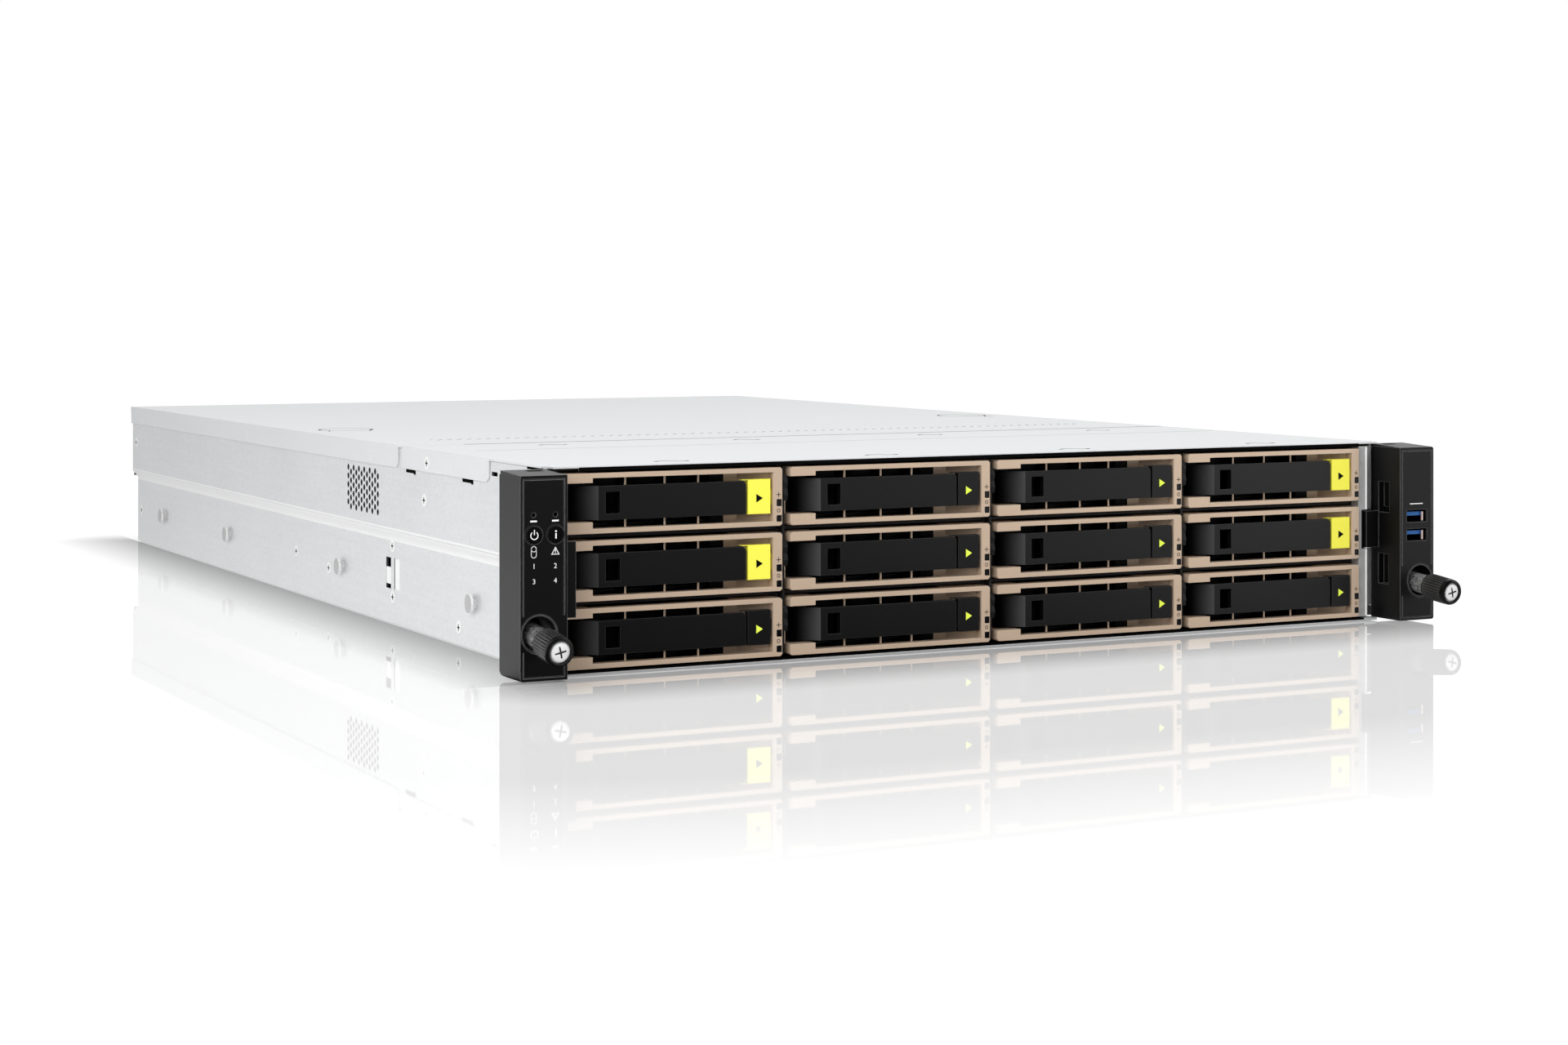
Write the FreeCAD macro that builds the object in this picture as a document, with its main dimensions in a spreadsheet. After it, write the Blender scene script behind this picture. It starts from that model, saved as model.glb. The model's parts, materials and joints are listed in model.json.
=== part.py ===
"""Two-unit rack server with twelve hot-swap drive trays.

Frame: X to the right seen from the front, Y from the front to the rear, Z up. The origin lies on the
underside, midway between the ears, in the plane that meets the front face of the rack's posts.
All sizes are millimetres. Nodes of the trays are numbered ROW_COLUMN from the top left.
"""
import FreeCAD, Part
import math
import os
import Sketcher
from FreeCAD import Placement, Rotation, Vector

DOC = FreeCAD.newDocument("rack_server")
SHEET = DOC.addObject("Spreadsheet::Sheet", "Sizes")
PUBLISHED = []

SIZES = {
    # chassis
    "ear_span": 482.6,
    "ear_width": 21.0,
    "ear_low": 1.0,
    "ear_top": 85.9,
    "ear_depth": 23.5,
    "unit_height": 88.0,
    "chassis_depth": 714.0,
    "low_width": 436.0,
    "high_width": 443.0,
    "step_low": 43.5,
    "step_high": 46.0,
    "metal": 1.2,
    "cover_metal": 0.8,
    "cover_split": 178.0,
    "cover_width": 444.8,
    "lip_front": -7.0,
    "flange_drop": 10.5,
    # drive bays
    "bay_pitch_x": 106.6,
    "bay_pitch_z": 28.57,
    "bay_first_x": -163.5,
    "bay_first_z": 15.07,
    "bay_width": 104.6,
    "bay_height": 27.2,
    "cage_length": 174.0,
    # drive trays
    "bezel_width": 102.6,
    "bezel_height": 25.6,
    "bezel_depth": 6.0,
    "bezel_front": -8.0,
    "bezel_bar": 2.1,
    "tab_length": 12.5,
    "tab_low": 4.9,
    "tab_top": 21.5,
    "recess_right": 98.1,
    "recess_depth": 14.0,
    "carrier_width": 104.0,
    "carrier_length": 178.0,
    "rail_metal": 1.2,
    "drive_width": 101.4,
    "drive_height": 26.1,
    "drive_length": 147.0,
    "lever_low": 5.6,
    "lever_top": 20.1,
    "lever_crease": 15.2,
    "lever_end": 85.0,
    "lever_metal": 3.0,
    "latch_left": 86.0,
    "latch_right": 96.9,
    # power supplies, fans and board
    "supply_width": 73.5,
    "supply_height": 39.0,
    "supply_length": 185.0,
    "supply_x": 141.8,
    "supply_low": 2.4,
    "supply_pitch": 41.6,
    "fan_size": 80.0,
    "fan_depth": 38.0,
    "fan_front": 205.0,
    "fan_pitch": 96.0,
    "fan_first_x": -146.0,
    "board_low": 8.0,
    "board_metal": 1.6,
    # thumbscrews
    "screw_x": 232.9,
    "screw_z": 20.4,
    "screw_pivot_y": -9.5,
    "knob_diameter": 12.7,
    "knob_length": 16.4,
    "sleeve_diameter": 9.4,
}


def fill_sheet():
    for row, (alias, value) in enumerate(SIZES.items(), start=1):
        SHEET.set("A%d" % row, alias.replace("_", " "))
        SHEET.set("B%d" % row, str(value))
        SHEET.setAlias("B%d" % row, alias)
    DOC.recompute()


def size(expression):
    """Number behind a sheet expression such as 'low_width / 2'; numbers pass through."""
    if isinstance(expression, (int, float)):
        return float(expression)
    return float(SHEET.evalExpression(expression))


def bind(item, prop, value):
    """Set a property to a number, or bind it to an expression of sheet aliases."""
    if isinstance(value, str):
        item.setExpression(prop, in_sheet(value))
    else:
        setattr(item, prop, value)


def in_sheet(expression):
    """The same expression as seen from another object: every alias gets the sheet's name."""
    words = expression.split(" ")
    return " ".join("Sizes." + word if word in SIZES else word for word in words)


# ---- outlines: lists of sketch geometry -------------------------------------------------------

def polygon(points):
    """Closed outline. A point written (x, y, via_x, via_y) is reached by an arc through via."""
    edges = []
    for index, point in enumerate(points):
        start = Vector(*points[index - 1][:2], 0)
        end = Vector(*point[:2], 0)
        if len(point) == 4:
            edges.append(Part.Arc(start, Vector(point[2], point[3], 0), end))
        else:
            edges.append(Part.LineSegment(start, end))
    return edges


def box(x0, y0, x1, y1):
    """Rectangle whose sides may be sheet expressions, which then drive its constraints."""
    return ("box", x0, y0, x1, y1)


def oval(x, y, length, width):
    """Ellipse drawn with twenty-four chords."""
    turns = [math.tau * step / 24 for step in range(24)]
    return polygon([(x + length / 2 * math.cos(a), y + width / 2 * math.sin(a)) for a in turns])


def disc(x, y, diameter):
    return [Part.Circle(Vector(x, y, 0), Vector(0, 0, 1), diameter / 2)]


def prism_face(x, y, width, sides):
    """Regular outline, `width` across its corners."""
    turns = [math.tau * step / sides for step in range(sides)]
    return polygon([(x + width / 2 * math.cos(a), y + width / 2 * math.sin(a)) for a in turns])


# ---- features of a PartDesign body ------------------------------------------------------------

def new_body(name):
    body = DOC.addObject("PartDesign::Body", name)
    body.AllowCompound = True
    return body


def draw_box(sketch, x0, y0, x1, y1):
    """Four lines held level, upright and closed, with both corners placed from the origin."""
    left, low, right, top = size(x0), size(y0), size(x1), size(y1)
    corners = [Vector(left, low, 0), Vector(right, low, 0), Vector(right, top, 0), Vector(left, top, 0)]
    ids = [sketch.addGeometry(Part.LineSegment(corners[i], corners[(i + 1) % 4])) for i in range(4)]
    for i in range(4):
        sketch.addConstraint(Sketcher.Constraint("Coincident", ids[i], 2, ids[(i + 1) % 4], 1))
        sketch.addConstraint(Sketcher.Constraint("Vertical" if i % 2 else "Horizontal", ids[i]))
    for kind, line, value in (("DistanceX", ids[0], x0), ("DistanceY", ids[0], y0),
                              ("DistanceX", ids[2], x1), ("DistanceY", ids[2], y1)):
        number = sketch.addConstraint(Sketcher.Constraint(kind, -1, 1, line, 1, size(value)))
        if isinstance(value, str):
            sketch.setExpression("Constraints[%d]" % number, in_sheet(value))


def draw(body, plane, at, outlines):
    """Sketch with the outlines, parallel to one of the body's own planes and `at` mm along its axis."""
    sketch = body.newObject("Sketcher::SketchObject", body.Name + "_sketch")
    support = [item for item in body.Origin.OriginFeatures if item.Role == plane + "_Plane"][0]
    sketch.AttachmentSupport = [(support, "")]
    sketch.MapMode = "FlatFace"
    side = -1 if plane == "XZ" else 1
    sketch.AttachmentOffset = Placement(Vector(0, 0, side * size(at)), Rotation())
    if isinstance(at, str):
        sketch.setExpression("AttachmentOffset.Base.z", "%d * (%s)" % (side, in_sheet(at)))
    for outline in outlines:
        if outline[0] == "box":
            draw_box(sketch, *outline[1:])
        else:
            sketch.addGeometry(outline, False)
    return sketch


def grow(body, plane, at, outlines, length):
    """Pad along the plane's positive axis, from `at`."""
    feature = body.newObject("PartDesign::Pad", body.Name + "_pad")
    feature.Profile = draw(body, plane, at, outlines)
    bind(feature, "Length", length)
    feature.Reversed = plane == "XZ"
    return feature


def carve(body, plane, at, outlines, length):
    """Pocket along the plane's positive axis, from `at`."""
    feature = body.newObject("PartDesign::Pocket", body.Name + "_pocket")
    feature.Profile = draw(body, plane, at, outlines)
    bind(feature, "Length", length)
    feature.Reversed = plane != "XZ"
    return feature


def spin(body, outlines, axis):
    """Revolution of a profile in the XY plane about the body's own X or Y axis."""
    feature = body.newObject("PartDesign::Revolution", body.Name + "_revolution")
    feature.Profile = draw(body, "XY", 0, outlines)
    line = [item for item in body.Origin.OriginFeatures if item.Role == axis][0]
    feature.ReferenceAxis = (line, [""])
    feature.Angle = 360.0
    return feature


def soften(body, feature, chooser, radius, kind="Fillet"):
    """Fillet or chamfer on the edges of the last feature that the chooser accepts."""
    DOC.recompute()
    names = ["Edge%d" % (i + 1) for i, edge in enumerate(feature.Shape.Edges) if chooser(edge)]
    finish = body.newObject("PartDesign::" + kind, body.Name + "_" + kind.lower())
    finish.Base = (feature, names)
    setattr(finish, "Radius" if kind == "Fillet" else "Size", radius)
    return finish


def runs_along(edge, axis):
    """True for a straight edge parallel to the axis letter."""
    if edge.Curve.TypeId != "Part::GeomLine":
        return False
    return abs(abs(getattr(edge.Curve.Direction, axis)) - 1) < 1e-6


def block(name, x0, y0, z0, length, depth, height):
    """Part::Box with its corner and sides bound to the sheet."""
    item = DOC.addObject("Part::Box", name)
    for prop, value in (("Placement.Base.x", x0), ("Placement.Base.y", y0), ("Placement.Base.z", z0),
                        ("Length", length), ("Width", depth), ("Height", height)):
        item.setExpression(prop, in_sheet(value) if isinstance(value, str) else str(value))
    return item


def publish(name, sources, x=0, y=0, z=0, turn=None):
    """Named sub-part: a compound of its source solids, moved to its place."""
    node = DOC.addObject("Part::Compound", name)
    node.Label = name
    node.Links = sources
    if turn:
        node.Placement = Placement(Vector(size(x), size(y), size(z)), turn)
    for prop, value in (("x", x), ("y", y), ("z", z)):
        if isinstance(value, str):
            node.setExpression("Placement.Base." + prop, in_sheet(value))
        else:
            node.setExpression("Placement.Base." + prop, str(value))
    PUBLISHED.append(node)
    return node


# ---- chassis ----------------------------------------------------------------------------------

def wall_section():
    """Folded sheet seen from the front: floor, low walls, slanted step, high walls."""
    low, high, thick = size("low_width / 2"), size("high_width / 2"), size("metal")
    step_low, step_high = size("step_low"), size("step_high")
    top = size("unit_height - 1")
    right = [(low, 0), (low, step_low), (high, step_high), (high, top), (high - thick, top),
             (high - thick, step_high + 0.6), (low - thick, step_low + 0.6), (low - thick, thick)]
    left = [(-x, z) for x, z in reversed(right)]
    return polygon(right + left)


def vent_field(first_y, first_z):
    """Twelve staggered columns of five hexagonal holes, seen along X."""
    holes = []
    for column in range(12):
        for row in range(5):
            lift = 2.2 if column % 2 else 0.0
            holes.append(prism_face(first_y + 4.2 * column, first_z + 4.4 * row + lift, 3.4, 6))
    return holes


def rear_openings():
    """Cut-outs of the rear wall: two supply bays, the connector window and seven slot vents."""
    left, width = size("supply_x"), size("supply_width")
    cuts = []
    for level in range(2):
        low = size("supply_low") + level * size("supply_pitch")
        cuts.append(box(left - 0.6, low - 0.6, left + width + 0.6, low + size("supply_height") + 0.6))
    cuts.append(box(-52, 9.0, 128, 29.0))
    for slot in range(7):
        x = -204 + 20.32 * slot
        cuts.append(box(x, 14, x + 8.6, 74))
    for column in range(4):
        cuts.append(prism_face(-30 + 44 * column, 46, 26, 6))
        cuts.append(prism_face(-8 + 44 * column, 66, 26, 6))
    return cuts


def make_chassis():
    body = new_body("chassis_sheet")
    grow(body, "XZ", 0, [wall_section()], "chassis_depth")
    grow(body, "XZ", "lip_front", [box(-219.5, 0, 219.5, "metal")], "0 - lip_front")
    outer, inner = size("high_width / 2"), size("high_width / 2 - metal")
    grow(body, "XZ", -1.5, [box(inner, 47, outer, 84), box(-outer, 47, -inner, 84)], 1.6)
    rear_wall = [box(-217.2, 0.6, 217.2, 43), box(-220.8, 43, 220.8, 86.6)]
    grow(body, "XZ", "chassis_depth - metal", rear_wall, "metal")
    carve(body, "XZ", "chassis_depth - 3", rear_openings(), 5)
    carve(body, "YZ", -225, vent_field(215.6, 53.6), 10)
    side_slots = [box(53, 80.6, 60, 82.4), box(72.5, 75.2, 86, 77.3), box(150, 75.2, 163, 77.3),
                  box(206, 16.6, 213, 31.8), box(199.6, 16.7, 200.9, 32)]
    carve(body, "YZ", -225, side_slots, 450)
    supply_shelf(body)
    rail_studs(body)
    publish("chassis_base", [body, make_flange("left", -1), make_flange("right", 1)])


def make_flange(name, side):
    """Rack flange welded to the front edge of a side wall, with a clearance hole for the screw."""
    body = new_body(name + "_rack_flange")
    edges = sorted((side * size("high_width / 2"), side * 239.8))
    grow(body, "XZ", -1.5, [box(edges[0], 3, edges[1], 84)], 1.5)
    carve(body, "XZ", -3, [disc(side * size("screw_x"), size("screw_z"), 7.4)], 4)
    return body


def supply_shelf(body):
    """Folded cage for the power supplies: one upright, and a shelf between the two."""
    wall = size("supply_x") - 1.6
    shelf = size("supply_low") + size("supply_height") + 0.9
    outline = [box(wall, 0.6, wall + 0.9, 84.4), box(wall + 0.5, shelf, 217.2, shelf + 0.8)]
    grow(body, "XZ", 527, [outline[0]], 186)
    grow(body, "XZ", 527, [outline[1]], 186)


def rail_studs(body):
    """Four T-headed studs on each side, which the slide rails hook over."""
    low = size("low_width / 2")
    for side in (-1, 1):
        shanks = [prism_face(y, 21, 5.0, 6) for y in (90.3, 282.0, 494.0, 644.0)]
        heads = [prism_face(y, 21, 8.8, 12) for y in (90.3, 282.0, 494.0, 644.0)]
        grow(body, "YZ", low - 0.4 if side > 0 else -low - 2.1, shanks, 2.5)
        grow(body, "YZ", low + 2.1 if side > 0 else -low - 3.4, heads, 1.3)


def cover_section(width, drop, thick, top):
    """Flat top with a flange folded down on either side."""
    half = width / 2
    right = [(half, top - drop), (half, top)]
    inner = [(half - thick, top - thick), (half - thick, top - drop)]
    return polygon(right + [(-x, z) for x, z in reversed(right)]
                   + [(-x, z) for x, z in reversed(inner)] + inner)


def make_front_cover():
    width, thick, top = size("cover_width"), size("cover_metal"), size("unit_height")
    split = size("cover_split")
    body = new_body("front_cover_sheet")
    flanges = grow(body, "XZ", 62, [cover_section(width, size("flange_drop"), thick, top)], split - 62.6)
    body.Tip = soften(body, flanges, lambda edge: is_flange_corner(edge, 62.0, top - 9), 4.0)
    grow(body, "XZ", 0.3, [box("0 - cover_width / 2", "unit_height - cover_metal", "cover_width / 2",
                               "unit_height")], 63)
    grow(body, "XZ", "lip_front", [box(-219.6, "unit_height - cover_metal", 219.6, "unit_height")], 8)
    grow(body, "XZ", "lip_front", [box(-208, 86.0, 208, "unit_height - 0.4")], 0.9)
    publish("front_cover", [body])


def is_flange_corner(edge, y, below):
    """Short edge across the sheet at the lower corner of a side flange."""
    middle = edge.CenterOfMass
    return runs_along(edge, "x") and edge.Length < 2 and abs(middle.y - y) < 0.1 and middle.z < below


def make_rear_cover():
    width, thick, top = size("cover_width"), size("cover_metal"), size("unit_height")
    split, end = size("cover_split"), size("chassis_depth + 0.8")
    body = new_body("rear_cover_sheet")
    flanges = grow(body, "XZ", split + 5.5, [cover_section(width, size("flange_drop") + 0.3, thick, top)],
                   end - split - 5.5)
    body.Tip = soften(body, flanges, lambda edge: is_flange_corner(edge, split + 5.5, top - 9), 4.0)
    grow(body, "XZ", "cover_split + 0.4", [box("0 - cover_width / 2", "unit_height - cover_metal",
                                              "cover_width / 2", "unit_height")], 6)
    grow(body, "XZ", end - 0.1, [box("0 - cover_width / 2", 84.3, "cover_width / 2", "unit_height")], 0.8)
    pads = [oval(x, 336, 26.6, 16) for x in (-196, 196)]
    carve(body, "XY", "unit_height - 0.4", pads, 0.5)
    publish("rear_cover", [body])


# ---- drive cage and backplane ------------------------------------------------------------------

def bay_centres():
    """(row, column, x, z) of every bay, rows counted from the top and columns from the left."""
    found = []
    for row in range(3):
        for column in range(4):
            x = size("bay_first_x") + column * size("bay_pitch_x")
            z = size("bay_first_z") + (2 - row) * size("bay_pitch_z")
            found.append((row + 1, column + 1, x, z))
    return found


def make_cage():
    half, tall = size("bay_width / 2"), size("bay_height / 2")
    left = size("bay_first_x") - half - 0.8
    right = size("bay_first_x + 3 * bay_pitch_x") + half + 1.2
    body = new_body("cage_frame")
    grow(body, "XZ", -1, [box(left, 1.4, right, 86.6)], "cage_length + 1")
    bays = []
    for row, column, x, z in bay_centres():
        low = z - tall if row < 3 else 0.5
        bays.append(box(x - half, low, x + half, z + tall))
    carve(body, "XZ", -2, bays, "cage_length + 4")
    dividers = [size("bay_first_x") + (column + 0.5) * size("bay_pitch_x") for column in range(3)]
    grow(body, "XZ", -5, [box(x - 0.6, 3, x + 0.6, 85) for x in dividers], 4.5)
    make_channel(body, right)
    publish("drive_cage", [body])


def make_channel(body, right):
    """Bent strip that covers the cable channel between the last column and the right ear."""
    fold = 212.8
    strip = polygon([(208.7, -6.2), (fold, -6.2), (219.8, -2.4), (219.8, -1.3), (fold - 0.3, -5.2),
                     (right, -5.2), (right, -0.5), (right - 1.0, -0.5), (right - 1.0, -5.2), (208.7, -5.2)])
    grow(body, "XY", 2, [strip], 84)
    carve(body, "XZ", -9, [box(210.6, 35.4, 222, 54.6), box(214.5, 1, 222, 7)], 10)


def make_backplane():
    board = new_body("backplane_board")
    grow(board, "XZ", "cage_length + 1.3", [box(-215.5, 3, 208.5, 85)], 1.6)
    left, right = size("bay_first_x") - 22, size("bay_first_x + 3 * bay_pitch_x") + 40
    levels = sorted({z for _, _, _, z in bay_centres()})
    windows = [box(left, z + 3, right, z + 10) for z in levels]
    carve(board, "XZ", "cage_length", windows, 5)
    sockets = new_body("backplane_sockets")
    grow(sockets, "XZ", 161.8, [box(x - 45, z - 9.5, x - 11, z - 3.5) for _, _, x, z in bay_centres()],
         "cage_length + 1.3 - 161.8")
    publish("drive_backplane", [board, sockets])


# ---- drive trays, in a frame whose origin is the bezel's lower left front corner ----------------

def make_bezel():
    wide, tall, bar = size("bezel_width"), size("bezel_height"), size("bezel_bar")
    tab, low, top, right = size("tab_length"), size("tab_low"), size("tab_top"), size("recess_right")
    body = new_body("tray_bezel")
    frame = polygon([(0, 0), (wide, 0), (wide, tall), (0, tall), (0, top), (tab, top), (tab, tall - bar),
                     (right, tall - bar), (right, bar), (tab, bar), (tab, low), (0, low)])
    plate = grow(body, "XZ", 0, [frame], "bezel_depth")
    body.Tip = soften(body, plate, lambda edge: is_outer_corner(edge, wide, tall), 0.9, "Chamfer")
    inner = wide - 0.7
    lower_lip = polygon([(0.7, 0), (inner, 0), (inner, 1.2), (tab, 1.2), (tab, low), (0.7, low)])
    upper_lip = polygon([(0.7, tall), (0.7, top), (tab, top), (tab, tall - 1.2), (inner, tall - 1.2),
                         (inner, tall)])
    grow(body, "XZ", "bezel_depth", [lower_lip], 8)
    grow(body, "XZ", "bezel_depth", [upper_lip], 8)
    ribs = [box(x - 0.45, 1, x + 0.45, tall - 1) for x in (29.5, 48.0, 64.0)]
    grow(body, "XZ", 4.6, ribs, "recess_depth - 4.6")
    pocket = polygon([(72.6, 11.6), (86, 11.6), (right, 4.7), (inner, 4.7), (inner, 6.4), (right + 0.8, 6.4),
                      (86.5, 13.2), (72.6, 13.2)])
    grow(body, "XY", 1, [pocket], tall - 2)
    carve(body, "XZ", 1.9, [box(right - 1, 8.9, right + 3.4, 16.6)], 2.2)
    return body


def is_outer_corner(edge, wide, tall):
    """Edge along the depth at one of the four outer corners of the bezel."""
    middle = edge.CenterOfMass
    at_side = min(abs(middle.x), abs(middle.x - wide)) < 0.1
    at_end = min(abs(middle.z), abs(middle.z - tall)) < 0.1
    return runs_along(edge, "y") and at_side and at_end


def make_carrier():
    """Baffle with an air window, and the two rails that hold the drive."""
    body = new_body("tray_carrier")
    middle = size("bezel_width / 2")
    left = middle - size("carrier_width / 2")
    right = middle + size("carrier_width / 2")
    thick, front, end = size("rail_metal"), size("bezel_depth"), size("bezel_depth + carrier_length - 12")
    near = size("recess_depth") + 0.2
    far = near + 1.0
    outline = polygon([
        (left, front), (left + thick, front), (left + thick, near), (right - thick, near),
        (right - thick, front), (right, front), (right, end), (right - thick, end), (right - thick, far),
        (left + thick, far), (left + thick, end), (left, end)])
    grow(body, "XY", 0.6, [outline], 24.4)
    carve(body, "XZ", near - 1, [box(14.5, 3, 72.0, 22.6)], 3)
    return body


def make_drive():
    """Disk drive held between the carrier's rails."""
    left = "bezel_width / 2 - drive_width / 2"
    low = "bezel_height / 2 - drive_height / 2"
    return block("disk_drive", left, 22, low, "drive_width", "drive_length", "drive_height")


def make_lever():
    """Handle that swings about the pin: thumb scoop, sharp crease, flat arm with a window."""
    crease, end, thick = size("lever_crease"), size("lever_end"), size("lever_metal")
    front = 0.4
    body = new_body("lever_arm")
    profile = polygon([
        (2.8, 5.9), (3.6, 5.2), (crease, front, 9.9, 4.0), (end, front), (end, front + thick),
        (crease + 1.6, front + thick), (13.8, 5.9), (9.8, 8.8), (8.0, 10.4), (6.2, 10.2),
        (5.0, 7.4), (2.8, 7.4)])
    grow(body, "XY", "lever_low", [profile], "lever_top - lever_low")
    carve(body, "XZ", 0, [box(18.6, 8.2, 25.3, 17.5)], 5)
    corner = polygon([(end - 1.2, 21), (end - 1.2, 20.1), (end, 18.7), (end + 1, 18.7), (end + 1, 21)])
    carve(body, "XZ", -1, [corner], 6)
    return body


def make_latch():
    """Sliding block with a lip over the lever's corner and a tongue in the bezel's slot."""
    left, right = size("latch_left"), size("latch_right")
    block_body = new_body("latch_block")
    grow(block_body, "XZ", 0.3, [box(left, 5.5, right, 20.7)], 3.4)
    grow(block_body, "XZ", 2.2, [box(right - 1, 9.2, right + 3.3, 16.3)], 1.5)
    lip = new_body("latch_lip")
    grow(lip, "XZ", 0.3, [box(left - 2.9, 20.4, left, 20.7)], 3.4)
    return [block_body, lip]


def make_trays():
    bezel, carrier, drive = make_bezel(), make_carrier(), make_drive()
    lever, latch = make_lever(), make_latch()
    for row, column, _, _ in bay_centres():
        x = "bay_first_x + %d * bay_pitch_x - bezel_width / 2" % (column - 1)
        z = "bay_first_z + %d * bay_pitch_z - bezel_height / 2" % (3 - row)
        place = "%d_%d" % (row, column)
        publish("drive_tray_" + place, [bezel, carrier, drive], x, "bezel_front", z)
        publish("tray_lever_" + place, [lever], x, "bezel_front", z)
        publish("tray_latch_" + place, latch, x, "bezel_front", z)


# ---- ears --------------------------------------------------------------------------------------

def ear_outline(side):
    """Front view of an ear, with its two outer corners rounded."""
    outer, inner = size("ear_span / 2"), size("ear_span / 2 - ear_width")
    low, top, r, d = size("ear_low"), size("ear_top"), 1.2, 0.35
    points = [(inner, low), (outer - r, low), (outer, low + r, outer - d, low + d), (outer, top - r),
              (outer - r, top, outer - d, top - d), (inner, top)]
    return polygon([tuple(side * v if i % 2 == 0 else v for i, v in enumerate(p)) for p in points])


def make_ear(name, side):
    """Moulded housing in front of the rack flange. `side` is -1 on the left and 1 on the right."""
    inner = size("ear_span / 2 - ear_width")
    body = new_body(name + "_moulding")
    outer, low = size("ear_span / 2"), size("ear_low")
    grow(body, "XZ", "0 - ear_depth", [ear_outline(side)], "ear_depth")
    back_corner = polygon([(-2.2, low - 0.1), (0.2, low - 0.1), (0.2, low + 2.3)])
    carve(body, "YZ", min(side * inner, side * outer) - 1, [back_corner], "ear_width + 2")
    edges = sorted((side * (inner - 0.3), side * (outer - 1.2)))
    carve(body, "XZ", -1.6, [box(edges[0], 2.7, edges[1], 84.3)], 2)
    screw_x, screw_z = side * size("screw_x"), size("screw_z")
    carve(body, "XZ", -24, [disc(screw_x, screw_z, 14.8)], 20)
    carve(body, "XZ", -5, [prism_face(screw_x, screw_z, 7.6, 12)], 6)
    start = inner - 0.5 if side > 0 else -inner - 3.5
    carve(body, "YZ", start, [box(-15.5, 53.5, -7.5, 68.5), box(-14.8, 18.2, -7.3, 33.0)], 4)
    reach, front, low, high = (7.8, -7.5, 36, 54) if side > 0 else (4.65, -21.5, 26.2, 58)
    edges = sorted((side * (inner + 0.5), side * (inner - reach)))
    grow(body, "XZ", front, [box(edges[0], low, edges[1], high)], 3.5)
    return body


def make_ears():
    left = make_ear("left_ear", -1)
    carve(left, "XZ", -24, [disc(-235.2, 61.3, 7.7), disc(-225.6, 61.3, 7.7)], 9.5)
    publish("left_ear", [left])
    right = make_ear("right_ear", 1)
    for low in (49.2, 40.0):
        carve(right, "XZ", -24, [box(224.5, low, 237.1, low + 5.9)], 18)
        carve(right, "XZ", -22.3, [box(223.5, low - 0.9, 238.1, low + 6.8)], 16.3)
    publish("right_ear", [right])
    make_buttons()
    make_ports()


def make_buttons():
    for name, x in (("power_button", -235.2), ("locator_button", -225.6)):
        body = new_body(name + "_cap")
        grow(body, "XZ", -23.9, [disc(x, 61.3, 7.1)], 6.4)
        publish(name, [body])


def make_ports():
    """Two receptacles: steel shell with a contact tongue inside."""
    body = new_body("port_shells")
    for low in (49.2, 40.0):
        outside = box(223.8, low - 0.5, 237.8, low + 6.4)
        grow(body, "XZ", -22.1, [outside, box(224.5, low, 237.1, low + 5.9)], 13)
        grow(body, "XZ", -9.3, [outside], 1.0)
        grow(body, "XZ", -21.4, [box(225.5, low + 3.0, 236.1, low + 4.9)], 12.5)
    publish("usb_ports", [body])


# ---- captive thumbscrews, drawn along Y about the point that they droop from ---------------------

def make_thumbscrews():
    """Sleeve that slides in the ear, and the fluted knob with its screw, which turns on it."""
    sides = 20
    sleeve = new_body("screw_sleeve")
    grow(sleeve, "XZ", -21.2, [disc(0, 0, size("sleeve_diameter")), prism_face(0, 0, 5.2, 12)], 18.2)
    back = -21.3
    front = back - size("knob_length")
    knob = new_body("screw_knob")
    grow(knob, "XZ", front + 0.9, [prism_face(0, 0, size("knob_diameter"), sides)], "knob_length - 0.9")
    rim = grow(knob, "XZ", front, [prism_face(0, 0, size("knob_diameter"), sides)], 1.0)
    knob.Tip = soften(knob, rim, lambda edge: abs(edge.CenterOfMass.y - front) < 0.01, 0.8, "Chamfer")
    carve(knob, "XZ", front - 1, [prism_face(0, 0, 9.4, sides)], 2.6)
    grow(knob, "XZ", back - 0.1, [prism_face(0, 0, 4.8, 12)], 26.9)
    head = new_body("screw_head")
    grow(head, "XZ", front + 0.6, [disc(0, 0, 8.6)], 0.9)
    for name, side, droop in (("left", -1, 7.5), ("right", 1, 6.0)):
        turn = Rotation(Vector(1, 0, 0), droop)
        x = "%d * screw_x" % side
        publish(name + "_screw_sleeve", [sleeve], x, "screw_pivot_y", "screw_z", turn)
        publish(name + "_thumbscrew", [knob, head], x, "screw_pivot_y", "screw_z", turn)


# ---- fans ----------------------------------------------------------------------------------------

def make_fans():
    side, deep = size("fan_size"), size("fan_depth")
    middle = side / 2 + 2
    frame = new_body("fan_frame")
    grow(frame, "XZ", 0, [box("0 - fan_size / 2", "0 - fan_size / 2", "fan_size / 2", "fan_size / 2"),
                          prism_face(0, 0, side - 3, 24)], "fan_depth")
    spider = [strut(math.radians(turn), 12, side / 2 - 0.5) for turn in (45, 135, 225, 315)]
    grow(frame, "XZ", deep - 4, [prism_face(0, 0, 30, 16)], 4)
    for bar in spider:
        grow(frame, "XZ", deep - 3, [bar], 3)
    rotor = new_body("rotor")
    grow(rotor, "XZ", 3, [prism_face(0, 0, 31, 16)], deep - 8)
    add_blades(rotor)
    copies = []
    for number in range(3):
        x = "fan_first_x + %d * fan_pitch" % number
        publish("fan_rotor_%d" % (number + 1), [rotor], x, "fan_front", middle)
        copies.append(place_copy("frame_copy_%d" % number, frame, x, "fan_front", middle))
    publish("fan_frames", copies)


def place_copy(name, source, x, y, z):
    """One of several like solids that share a node."""
    copy = DOC.addObject("Part::Compound", name)
    copy.Links = [source]
    for axis, value in (("x", x), ("y", y), ("z", z)):
        copy.setExpression("Placement.Base." + axis, in_sheet(str(value)))
    return copy


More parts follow.
